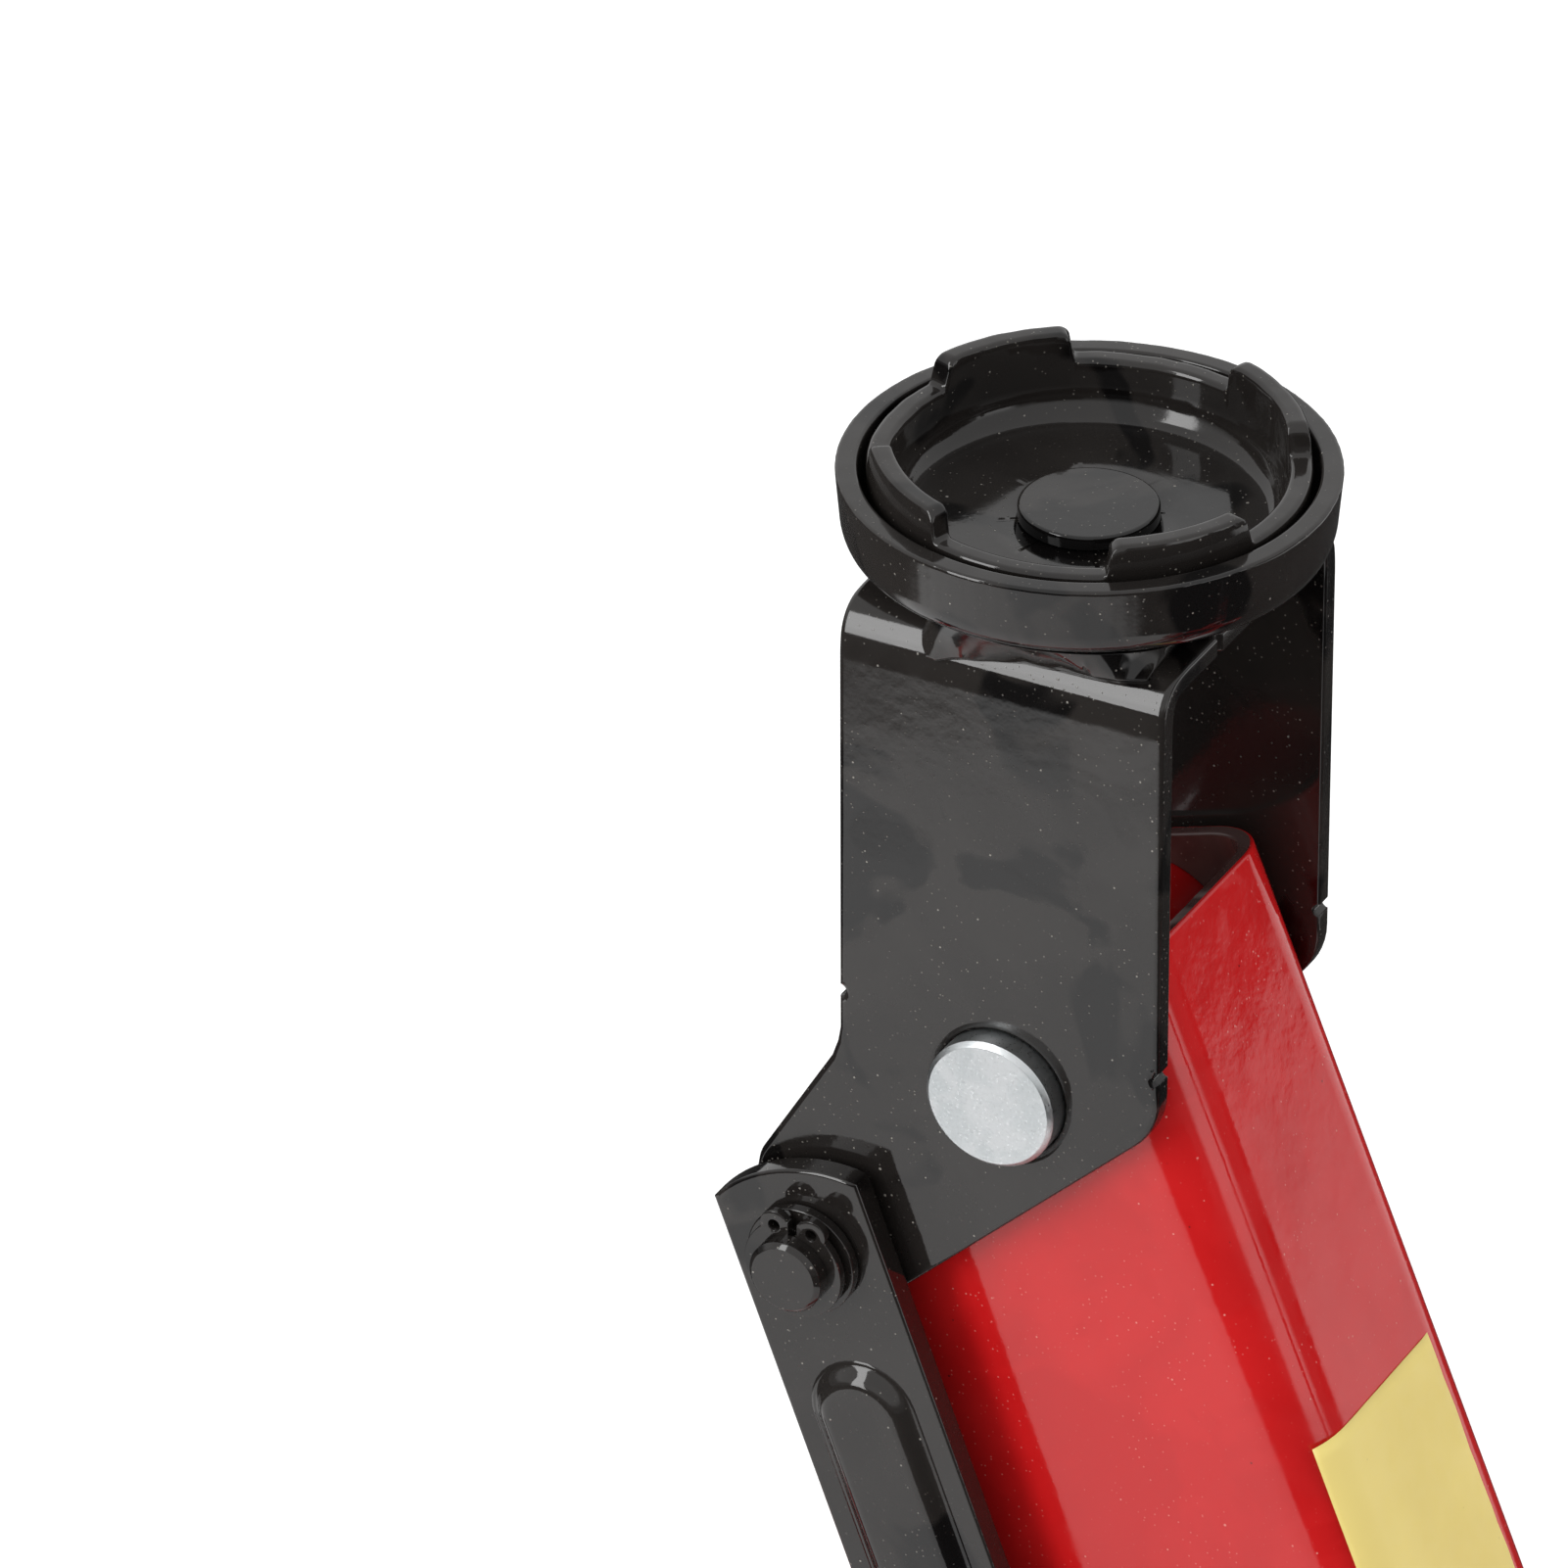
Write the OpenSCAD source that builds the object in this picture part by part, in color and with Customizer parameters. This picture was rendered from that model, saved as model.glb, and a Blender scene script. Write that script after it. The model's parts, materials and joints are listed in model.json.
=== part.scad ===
// Low trolley jack: wheeled chassis, hydraulic ram, lifting arm and a levelled swivel saddle.
// Millimetres. +X points to the front (saddle end), +Y to the left, +Z up, floor at Z = 0.
// The jack is drawn fully raised.

/* [Lift] */
// Distance from the arm's pivot shaft to the head pin
arm_length = 182; // [170:1:220]
// Angle of the raised arm above the horizontal
raised_angle = 69.1; // [60:0.1:72]
// Angle of the lowered arm below the horizontal
lowered_angle = 8.9; // [0:0.1:10]
// Height of the arm's pivot shaft above the floor
pivot_z = 75; // [72:1:90]
// Forward offset of the levelling pivots from the arm's pivots
level_dx = 24.4; // [22:0.1:28]
// Drop of the levelling pivots below the arm's pivots
level_dz = 28.5; // [27:0.1:32]
// Radius of the crank that the ram pushes
crank_r = 36; // [32:1:38]

/* [Arm] */
// Outside width of the arm
arm_w = 39; // [38:0.5:39.2]
// Height of the arm's back above the line through its pivots, at the head pin
arm_back = 22.8; // [20:0.1:23]
// Outside corner radius of the arm's pressed channel
arm_corner = 8.5; // [6:0.5:10]
// Sheet thickness of the arm
arm_t = 2.2; // [2:0.1:3.5]
// Angle by which the arm deepens towards its base
arm_taper = 1.5; // [0:0.05:2.5]

/* [Head] */
// Outside width across the head bracket
head_w = 47.5; // [47.5:0.5:50]
// Reach of the head bracket ahead of the head pin
head_front = 22.4; // [20:0.1:24]
// Reach of the head bracket behind the head pin
head_rear = 21.8; // [20:0.1:24]
// Height of the head bracket's top above the head pin
head_top = 64; // [56:1:76]
// Sheet thickness of the head bracket
head_t = 3; // [2.5:0.1:3]
// Radius of the head pin's exposed end
head_pin_r = 8.8; // [8:0.1:9.5]

/* [Saddle] */
// Outside radius of the dish's rim
dish_r = 31; // [30:0.5:40]
// Height of the dish
dish_h = 14; // [13.5:0.5:16]
// Height of the saddle teeth above the dish's rim
tooth_h = 4.6; // [2:0.1:8]
// Number of saddle teeth
teeth = 4; // [3:1:6]
// Angle that each tooth spans
tooth_span = 40; // [25:1:50]

/* [Levelling links] */
// Width of each levelling link
link_w = 21.6; // [18:0.2:22]
// Sheet thickness of each levelling link
link_t = 3.5; // [3:0.1:4]
// Radius of the link pins
link_pin_r = 5; // [4:0.5:6]
// Height of the pressed rib on each link
rib_h = 1.8; // [1:0.1:2.5]

/* [Chassis] */
// Clear width between the side plates
chassis_w = 72; // [71:1:84]
// Sheet thickness of the side plates
side_t = 3.2; // [3:0.1:5]
// Distance from the arm's pivot forward to the front axle
front_reach = 233; // [230:1:270]
// Distance from the arm's pivot back to the handle's pivot
handle_reach = 135; // [130:1:150]
// Height of the handle's pivot
handle_z = 88; // [86:1:96]
// Width of the side plates' turned-out flanges
flange_w = 10; // [6:1:14]

/* [Wheels] */
// Radius of the front rollers
roller_r = 27; // [24:1:30]
// Width of the front rollers
roller_w = 26; // [20:1:32]
// Radius of the rear caster wheels
caster_r = 18; // [16:1:19]
// Width of the rear caster wheels
caster_w = 16; // [12:1:18]
// Trail of the rear casters
caster_trail = 10; // [6:1:12]
// Distance of each caster's swivel from the centre line
caster_y = 72; // [70:1:84]

/* [Pump] */
// Outside radius of the oil reservoir
reservoir_r = 23; // [21:0.5:23]
// Radius of the ram's piston
piston_r = 13; // [11:0.5:13.5]
// Radius of the pump plunger
plunger_r = 6; // [5:0.5:7]

/* [Handle] */
// Angle of the handle above the horizontal
handle_angle = 45; // [40:1:50]
// Length of the handle from its pivot
handle_length = 450; // [300:5:600]
// Outside radius of the handle tube
handle_r = 11; // [9:0.5:12]

/* [Fits] */
// Radial clearance of running fits
running = 0.05; // [0.02:0.01:0.1]
// Radial clearance of fixed pins in their holes
fixed = 0.02; // [0.01:0.01:0.05]
// Gap between pieces that pass each other
gap = 0.35; // [0.3:0.05:0.5]
// Radial clearance where the links meet the head's shaft
loose = 0.25; // [0.15:0.05:0.4]

/* [Hidden] */
$fn = 64;
eps = 0.01;
// The circles stand proud of the belt's straights by this, so that the two cross cleanly.
seam = 0.004;
sides = [-1, 1];

handle_side = [-cos(handle_angle), sin(handle_angle)];
grip_r = handle_r + 3;
front_end = front_reach + roller_r;
rear_end = handle_reach + handle_length*cos(handle_angle) + grip_r*sin(handle_angle);

// The origin lies on the floor at the middle of the jack's length.
pivot_x = (rear_end - front_end)/2;
pivot = [pivot_x, pivot_z];
head = pivot + arm_length*[cos(raised_angle), sin(raised_angle)];
level = [level_dx, -level_dz];
link_rear = pivot + level;
link_front = head + level;
axle = [pivot_x + front_reach, roller_r];
handle_pivot = [pivot_x - handle_reach, handle_z];

inner_y = chassis_w/2;
outer_y = inner_y + side_t;
head_y = head_w/2;
link_in_y = head_y + gap;
link_out_y = link_in_y + link_t;
arm_y = arm_w/2;

// The ram's crank is centred below the pivot at half travel.
crank_angle = -90 - (raised_angle - lowered_angle)/2;
crank_pin_r = 6;
crank_now = raised_angle + crank_angle;
crank = crank_r*[cos(crank_now), sin(crank_now)];
half_travel = (raised_angle + lowered_angle)/2;
crank_rise = crank_r*(1 - cos(half_travel));
ram_z = pivot_z - crank_r + crank_rise/2;
ram_ratio = crank_r*sin(half_travel)/half_travel*180/PI*1.018;
ram_travel = ram_ratio*2*half_travel*PI/180;
yoke_x = pivot_x + ram_travel/2;

shaft_r = 9;
boss_r = 13;
front_boss_r = 12;
head_shank_r = head_pin_r - 1;
axle_r = 8;
tube_r = axle_r + 1.5;
stud_r = 4;

block_front = pivot_x - 106;
block_step = pivot_x - 126;
block_rear = pivot_x - 172;
block_bottom = 20;
block_top = ram_z + 19;
block_low_top = block_top - 10;
gland_rear = pivot_x - 56;
gland_front = pivot_x - 44;
piston_front = gland_rear - 2;
piston_len = 12;
bore_end = piston_front - piston_len - ram_travel - 2;
rod_r = piston_r - 2;
// Half width of the yoke's slot, with play round the crank pin
slot_w = crank_pin_r + 0.9;
yoke_rear = slot_w + 6;
yoke_half = 12;

roller_drop = 10;
roller_back = 22;
press_r = 7;
plunger_x = handle_pivot[0] - roller_back;
cap_top = handle_z - roller_drop - press_r - 0.3;
cap_t = 3.2;

caster_x = pivot_x - 150;
wing_z = 56;
wing_t = 3;
race_h = 5;
fork_t = 2.5;
fork_top = wing_z - race_h;

clip_t = 1.2;
washer_t = 1.5;
// Depth of the circlip grooves in the thin and the thick shafts
groove_d = 0.6;
deep_groove_d = 0.8;

// Fasteners: shank radius and width across flats
block_bolt_r = 4;
block_bolt_w = 13;
handle_bolt_r = 6;
handle_bolt_w = 18;
pivot_nut_w = 27;
valve_r = 5;
valve_w = 13;
filler_r = 4;
filler_x = pivot_x - 80;
lock_r = 4;
roller_pin_r = 3;

// ---- Shared shapes ----

// Outline of a belt pulled round circles [x, y, r], listed counter-clockwise; r = 0 is a corner.
function turn(a, b) = atan2(b[1] - a[1], b[0] - a[0])
    - acos((a[2] - b[2])/norm([b[0] - a[0], b[1] - a[1]]));
function belt_points(c) = [for (i = [0:len(c) - 1])
    let (before = turn(c[(i + len(c) - 1)%len(c)], c[i]), after = turn(c[i], c[(i + 1)%len(c)]))
    for (a = c[i][2] > 0 ? [before, after] : [before])
    [c[i][0] + c[i][2]*cos(a), c[i][1] + c[i][2]*sin(a)]];
function shrunk(c, d) = [for (p = c) [p[0], p[1], max(p[2] - d, 0)]];

module belt(c) {
    polygon(belt_points(c));
    for (p = c) {
        if (p[2] > 0) translate([p[0], p[1]]) circle(p[2] + seam);
    }
}

// Plate in the XZ plane from y0 to y1.
module plate(y0, y1) {
    translate([0, y1, 0]) rotate([90, 0, 0]) linear_extrude(y1 - y0) children();
}

// Round bar along Y through the point p = [x, z].
module bar_y(p, r, y0, y1) {
    translate([p[0], y1, p[1]]) rotate([90, 0, 0]) cylinder(r = r, h = y1 - y0);
}

// Round bar along Y with both ends chamfered by c.
module pin_y(p, r, y0, y1, c) {
    translate([p[0], y0, p[1]]) rotate([-90, 0, 0]) rotate_extrude()
        polygon([[0, 0], [r - c, 0], [r, c], [r, y1 - y0 - c], [r - c, y1 - y0], [0, y1 - y0]]);
}

// Ring along Y.
module ring_y(p, r_out, r_in, y0, y1) {
    difference() {
        bar_y(p, r_out, y0, y1);
        bar_y(p, r_in, y0 - 1, y1 + 1);
    }
}

// Round bar along X at the height z.
module bar_x(r, x0, x1, y, z) {
    translate([x0, y, z]) rotate([0, 90, 0]) cylinder(r = r, h = x1 - x0);
}

// Hexagon nut or bolt head along Y, across = width across flats.
module hex_y(p, across, y0, y1) {
    translate([p[0], y1, p[1]]) rotate([90, 30, 0])
        cylinder(r = across/2/cos(30), h = y1 - y0, $fn = 6);
}

// Circlip with two drilled eyelets, opening upwards, from y0 to y1.
module circlip(p, r, y0, y1) {
    band = 2.4;
    mouth = 1.2;
    lug_r = 2;
    eyelet_r = 0.8;
    lug = [2.6, r + 1.4];
    difference() {
        union() {
            bar_y(p, r + band, y0, y1);
            for (s = sides) bar_y([p[0] + s*lug[0], p[1] + lug[1]], lug_r, y0, y1);
        }
        bar_y(p, r + fixed, y0 - 1, y1 + 1);
        for (s = sides) bar_y([p[0] + s*lug[0], p[1] + lug[1]], eyelet_r, y0 - 1, y1 + 1);
        translate([p[0] - mouth/2, y0 - 1, p[1]]) cube([mouth, y1 - y0 + 2, lug[1] + lug_r + 1]);
    }
}

// ---- Saddle ----
dish_z = head[1] + head_top;
dish_floor = 3.6;
dish_wall = 2.8;
cup_gap = 0.7;
cup_r = dish_r - dish_wall - cup_gap;
cup_t = 3;
cup_floor = dish_floor + 0.1;
cup_rim = dish_h + 0.3;
rivet_r = 6;
rivet_head_r = 8.75;
rivet_head_h = 1.8;

module dish_profile() {
    foot = [dish_r - 9.5, 0];
    shoulder = [dish_r - 1.4, 5];
    skirt = [dish_r - 0.7, 6.6];
    inside = dish_r - dish_wall;
    polygon([[0, 0], foot, shoulder, skirt, [dish_r, dish_h], [inside, dish_h],
        [inside - 0.6, dish_h - 5.8], [inside - 6.3, dish_floor], [0, dish_floor]]);
}

module saddle_dish() {
    color([0.12, 0.12, 0.12]) translate([head[0], 0, dish_z]) difference() {
        rotate_extrude($fn = 96) dish_profile();
        translate([0, 0, -1]) cylinder(r = rivet_r + fixed, h = dish_h);
    }
}

module saddle_cup() {
    top = dish_h + tooth_h;
    inside = cup_r - cup_t;
    first_tooth = 52.5;
    color([0.1, 0.1, 0.1]) translate([head[0], 0, dish_z]) difference() {
        rotate_extrude($fn = 96)
            polygon([[0, cup_floor], [cup_r - 6, cup_floor], [cup_r - 0.5, cup_floor + 4.5],
                [cup_r, top], [inside, top], [inside, cup_floor + 5.2],
                [inside - 1.9, cup_floor + cup_t], [0, cup_floor + cup_t]]);
        translate([0, 0, -1]) cylinder(r = rivet_r + running, h = dish_h);
        for (i = [0:teeth - 1])
            rotate(first_tooth + i*360/teeth + tooth_span/2)
                translate([0, 0, cup_rim])
                    rotate_extrude(angle = 360/teeth - tooth_span)
                        translate([inside - 2, 0]) square([cup_t + 4, tooth_h + 2]);
    }
}

module saddle_rivet() {
    head_z = cup_floor + cup_t + 0.1;
    head_end = head_z + rivet_head_h;
    tail_end = -head_t - 2;
    edge = 0.6;
    color([0.15, 0.15, 0.15]) translate([head[0], 0, dish_z]) rotate_extrude()
        polygon([[0, tail_end], [rivet_r + 1.5, tail_end], [rivet_r + 2, -head_t],
            [rivet_r, -head_t], [rivet_r, head_z], [rivet_head_r, head_z],
            [rivet_head_r, head_end - edge], [rivet_head_r - edge, head_end], [0, head_end]]);
}

// ---- Head bracket ----
tab_r = 10.8;
bend_r = 5.5;
nick_r = 0.8;
nick_z = 8.4;
top_nick_y = 8.5;
head_corner = 10;
// Rolled-in edge of the near pin hole
roll_w = 1.2;
roll_d = 1;

head_outline = [
    [level_dx, -level_dz, tab_r],
    [level_dx + 4.6, 8 - level_dz, 5],
    [head_front + 1, -1, 0],
    [head_front, 2.7, 0],
    [head_front, head_top, 0],
    [-head_rear, head_top, 0],
    [head_corner - head_rear, 5, head_corner]];

// Section of the folded sheet, open at the bottom.
module fold_section(half_w, top, bottom, r, t) {
    difference() {
        fold_solid(half_w, top, bottom, r);
        fold_solid(half_w - t, top - t, bottom - 1, r - t);
    }
}

module fold_solid(half_w, top, bottom, r) {
    translate([-half_w, bottom]) square([2*half_w, top - r - bottom]);
    translate([-half_w + r, bottom]) square([2*(half_w - r), top - bottom]);
    for (s = sides) translate([s*(half_w - r), top - r]) circle(r);
}

// Folded sheet running along X from x0 to x1.
module fold_along_x(x0, x1, half_w, top, bottom, r, t) {
    translate([x0, 0, 0]) rotate([90, 0, 90]) linear_extrude(x1 - x0)
        fold_section(half_w, top, bottom, r, t);
}

module head_shell() {
    translate([head[0], 0, head[1]]) intersection() {
        fold_along_x(-head_rear - 1, level_dx + tab_r + 1, head_y, head_top,
            -level_dz - tab_r - 1, bend_r, head_t);
        plate(-head_y - 1, head_y + 1) belt(head_outline);
    }
}

module head_bracket() {
    color([0.12, 0.12, 0.12]) difference() {
        head_shell();
        bar_y(head, head_pin_r + running, 0, head_y + 1);
        bar_y(head, head_shank_r + running, -head_y - 1, 0);
        translate([head[0], head_y - roll_d, head[1]]) rotate([-90, 0, 0])
            cylinder(r1 = head_pin_r + running, r2 = head_pin_r + running + roll_w, h = roll_d + eps);
        bar_y(link_front, link_pin_r + fixed, -head_y - 1, head_y + 1);
        translate([head[0], 0, dish_z - head_t - 1]) cylinder(r = rivet_r + fixed, h = head_t + 2);
        for (x = [-head_rear, head_front])
            bar_y([head[0] + x, head[1] + nick_z], nick_r, -head_y - 1, head_y + 1);
        translate([head[0] - head_rear, top_nick_y, dish_z - head_t - 1])
            cylinder(r = nick_r, h = head_t + 2);
    }
}

// Bead along the fold, under the overhanging dish.
module dish_weld() {
    bead_r = 3;
    bead_y = head_y - 3.5;
    ends = [-18, 12];
    color([0.1, 0.1, 0.1]) difference() {
        for (s = sides) {
            bar_x(bead_r, head[0] + ends[0], head[0] + ends[1], s*bead_y, dish_z);
            for (x = ends) translate([head[0] + x, s*bead_y, dish_z]) sphere(bead_r);
        }
        translate([head[0], 0, dish_z]) rotate_extrude($fn = 96) dish_profile();
        translate([head[0], 0, head[1]]) rotate([90, 0, 90])
            linear_extrude(head_rear*3, center = true)
                fold_solid(head_y, head_top, 0, bend_r);
    }
}

module head_pin() {
    proud = 2.2;
    shoulder = arm_y + gap + 1;
    tail = head_y + 2*clip_t + 1.6;
    edge = 0.6;
    color([0.8, 0.81, 0.82]) union() {
        pin_y(head, head_pin_r, shoulder, head_y + proud, edge);
        difference() {
            pin_y(head, head_shank_r, -tail, shoulder + 1, edge);
            ring_y(head, head_shank_r + 1, head_shank_r - deep_groove_d,
                -head_y - gap - clip_t, -head_y - gap);
        }
    }
}

module head_pin_clip() {
    color([0.3, 0.3, 0.3])
        circlip(head, head_shank_r - deep_groove_d, -head_y - gap - clip_t, -head_y - gap);
}

// ---- Levelling links ----
link_hole = link_pin_r + loose;
link_end_r = 21;
link_reach = 12;
shaft_end_y = link_out_y + 6.5;
clip_y = link_out_y + washer_t + 1.2;
rib_r = 6.7;
// Distance from a pin to the rib's end, and how far the rib's sides lean in
rib_inset = 16.2;
rib_lean = 2.1;
rib_sink = 0.5;

module link_bar(s) {
    mid = (link_rear + link_front)/2;
    arc_x = arm_length/2 + link_reach - link_end_r;
    rib_half = arm_length/2 - rib_inset - rib_r;
    y0 = s > 0 ? link_in_y : -link_out_y;
    color([0.12, 0.12, 0.12]) difference() {
        union() {
            plate(y0, y0 + link_t) translate(mid) rotate(raised_angle) intersection() {
                belt([[-arc_x, 0, link_end_r], [arc_x, 0, link_end_r]]);
                square([arm_length + 2*link_end_r, link_w], center = true);
            }
            // Pressed rib with sloping sides
            translate([mid[0], s*(link_out_y - rib_sink), mid[1]]) rotate([0, -raised_angle, 0])
                rotate([-90*s, 0, 0]) hull() {
                    for (x = sides) {
                        translate([x*rib_half, 0, 0]) cylinder(r = rib_r, h = rib_sink + 0.2, $fn = 32);
                        translate([x*rib_half, 0, 0])
                            cylinder(r = rib_r - rib_lean, h = rib_sink + rib_h, $fn = 32);
                    }
                }
        }
        bar_y(link_front, link_hole, -outer_y, outer_y);
        bar_y(link_rear, link_pin_r + running, -outer_y, outer_y);
    }
}

module link_left() {
    link_bar(1);
}

module link_right() {
    link_bar(-1);
}

module link_front_shaft() {
    color([0.2, 0.2, 0.2]) difference() {
        pin_y(link_front, link_pin_r, -shaft_end_y, shaft_end_y, 0.6);
        for (s = sides)
            ring_y(link_front, link_pin_r + 1, link_pin_r - groove_d,
                s > 0 ? clip_y : -clip_y - clip_t, s > 0 ? clip_y + clip_t : -clip_y);
    }
}

module link_front_washers() {
    band = 2.5;
    color([0.15, 0.15, 0.15]) for (s = sides)
        ring_y(link_front, link_pin_r + band, link_pin_r + fixed,
            s > 0 ? link_out_y + gap : -link_out_y - gap - washer_t,
            s > 0 ? link_out_y + gap + washer_t : -link_out_y - gap);
}

module link_front_clips() {
    color([0.15, 0.15, 0.15]) for (s = sides)
        circlip(link_front, link_pin_r - groove_d, s > 0 ? clip_y : -clip_y - clip_t,
            s > 0 ? clip_y + clip_t : -clip_y);
}

// Stub pins that hold the links' rear ends to the side plates.
stub_head_y = link_in_y - gap;
stub_end_y = outer_y + 3.5;

module link_rear_pins() {
    head_h = 1.2;
    color([0.6, 0.6, 0.6]) for (s = sides) mirror([0, s > 0 ? 0 : 1, 0]) difference() {
        union() {
            pin_y(link_rear, link_pin_r, stub_head_y, stub_end_y, 0.5);
            bar_y(link_rear, link_pin_r + 2, stub_head_y - head_h, stub_head_y);
        }
        ring_y(link_rear, link_pin_r + 1, link_pin_r - groove_d, outer_y + gap, outer_y + gap + clip_t);
    }
}

module link_rear_spacers() {
    color([0.55, 0.55, 0.55]) for (s = sides) mirror([0, s > 0 ? 0 : 1, 0])
        ring_y(link_rear, link_pin_r + 3, link_pin_r + fixed, link_out_y + gap, inner_y);
}

module link_rear_clips() {
    color([0.3, 0.3, 0.3]) for (s = sides) mirror([0, s > 0 ? 0 : 1, 0])
        circlip(link_rear, link_pin_r - groove_d, outer_y + gap, outer_y + gap + clip_t);
}

// ---- Lifting arm, drawn along +X from its pivot and turned up to its raised angle ----
crank_local = crank_r*[cos(crank_angle), sin(crank_angle)];

arm_root_r = 17;
arm_nose_r = 14;
// Deepest point of the arm's open edge: distance behind the head pin, depth and corner radius
arm_belly_x = 36;
arm_belly = 32.5;
arm_belly_r = 13.5;
// Reach of the arm's sheet beyond its head pin and its pivot
arm_nose = 14.3;
arm_base = 12;
arm_boss_out = 2.5;
head_boss_out = 0.9;

module arm_outline() {
    above = arm_back + 8;
    nose_x = arm_length + arm_nose;
    nose_lean = 1.5;
    belt([[0, 0, arm_root_r], [arm_length - arm_belly_x, arm_belly_r - arm_belly, arm_belly_r],
        [arm_length, 0, arm_nose_r], [nose_x, 4, 0], [nose_x - nose_lean, above, 0],
        [-arm_base, above, 0]]);
    // Web out to the crank pin
    belt([[crank_local[0], crank_local[1], crank_pin_r + 5], [44, -8, 9], [0, 0, arm_root_r]]);
}

module raised() {
    translate([pivot[0], 0, pivot[1]]) rotate([0, -raised_angle, 0]) children();
}

module lift_arm() {
    color([0.76, 0.12, 0.12]) raised() difference() {
        intersection() {
            translate([arm_length, 0, 0]) rotate([0, arm_taper, 0])
                fold_along_x(-arm_length - 40, 20, arm_y, arm_back, -crank_r - 20, arm_corner, arm_t);
            plate(-arm_y - 1, arm_y + 1) arm_outline();
        }
        bar_y([0, 0], boss_r + fixed, -arm_y - 1, arm_y + 1);
        bar_y([arm_length, 0], front_boss_r + fixed, -arm_y - 1, arm_y + 1);
        bar_y(crank_local, crank_pin_r + fixed, -arm_y - 1, arm_y + 1);
    }
}

module arm_front_boss() {
    color([0.7, 0.1, 0.1])
        ring_y(head, front_boss_r, head_shank_r + running, -arm_y - head_boss_out, arm_y + head_boss_out);
}

module arm_rear_boss() {
    color([0.7, 0.1, 0.1])
        ring_y(pivot, boss_r, shaft_r + running, -arm_y - arm_boss_out, arm_y + arm_boss_out);
}

module crank_pin() {
    color([0.6, 0.6, 0.6]) pin_y(pivot + crank, crank_pin_r, -arm_y - 1, arm_y + 1, 0.5);
}

// ---- Chassis ----
nose_r = 17;
flange_front = front_reach - 38;
flange_rear = 106;
flange_end = outer_y + flange_w + 1;
wing_r = 12;
wing_back = 18;
wing_root = 28;
wing_front = 12;
wing_out = 6;
gusset_h = 22;
frame_outline = [
    [axle[0], axle[1], nose_r],
    [pivot_x + 26, pivot_z, 22],
    [handle_pivot[0], handle_z, 13],
    [pivot_x - 163, 28, 12]];

module side_plate(s) {
    color([0.72, 0.1, 0.1]) mirror([0, s > 0 ? 0 : 1, 0]) difference() {
        union() {
            // Pressed plate with turned-out flanges along its top and bottom edges
            difference() {
                plate(inner_y, outer_y + flange_w) belt(frame_outline);
                plate(outer_y, flange_end) {
                    belt(shrunk(frame_outline, side_t));
                    translate([pivot_x + flange_front, 0]) square([front_reach, 2*handle_z]);
                    translate([pivot_x - flange_rear - front_reach, 0]) square([front_reach, 2*handle_z]);
                }
            }
            // Wing that carries the caster
            translate([0, 0, wing_z]) linear_extrude(wing_t)
                belt([[caster_x - wing_back, caster_y, wing_r], [caster_x - 2, outer_y - 1, 0],
                    [caster_x + wing_root, outer_y - 1, 0],
                    [caster_x + wing_front, caster_y + wing_out, wing_r],
                    [caster_x - wing_back, caster_y + wing_out, wing_r]]);
            // Gusset under the wing
            translate([caster_x + wing_root - 4, 0, 0]) rotate([90, 0, 90]) linear_extrude(side_t)
                polygon([[outer_y - 1, wing_z + 1], [outer_y - 1, wing_z - gusset_h],
                    [outer_y + 3, wing_z - gusset_h], [caster_y - 14, wing_z + 1]]);
        }
        bar_y(axle, axle_r + fixed, 0, flange_end);
        bar_y(pivot, shaft_r + fixed, 0, flange_end);
        bar_y(link_rear, link_pin_r + fixed, 0, flange_end);
        bar_y(handle_pivot, handle_bolt_r + fixed, 0, flange_end);
        for (p = block_bolt_points) bar_y(p, block_bolt_r + fixed, 0, flange_end);
        translate([caster_x, caster_y, 0]) cylinder(r = stud_r + fixed, h = pivot_z);
    }
}

module side_plate_left() {
    side_plate(1);
}

module side_plate_right() {
    side_plate(-1);
}

nut_h = 10;
shaft_end = outer_y + nut_h + 2;

module pivot_shaft() {
    color([0.6, 0.6, 0.6]) pin_y(pivot, shaft_r, -shaft_end, shaft_end, 1);
}

module pivot_spacers() {
    color([0.5, 0.5, 0.5]) for (s = sides) mirror([0, s > 0 ? 0 : 1, 0])
        ring_y(pivot, shaft_r + 3.5, shaft_r + fixed, arm_y + arm_boss_out + gap, inner_y);
}

module pivot_nuts() {
    color([0.75, 0.75, 0.75]) for (s = sides) mirror([0, s > 0 ? 0 : 1, 0]) difference() {
        hex_y(pivot, pivot_nut_w, outer_y, outer_y + nut_h);
        bar_y(pivot, shaft_r + fixed, outer_y - 1, outer_y + nut_h + 1);
    }
}

// ---- Front axle and rollers ----
roller_in = outer_y + 2;
roller_out = roller_in + roller_w;
axle_end = roller_out + gap + washer_t + 4;

module front_axle() {
    groove = roller_out + 2*gap + washer_t;
    color([0.55, 0.55, 0.55]) difference() {
        pin_y(axle, axle_r, -axle_end, axle_end, 0.8);
        for (s = sides)
            ring_y(axle, axle_r + 1, axle_r - deep_groove_d, s > 0 ? groove : -groove - clip_t,
                s > 0 ? groove + clip_t : -groove);
    }
}

module front_spacer_tube() {
    color([0.7, 0.1, 0.1]) ring_y(axle, tube_r, axle_r + fixed, -inner_y, inner_y);
}

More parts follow.
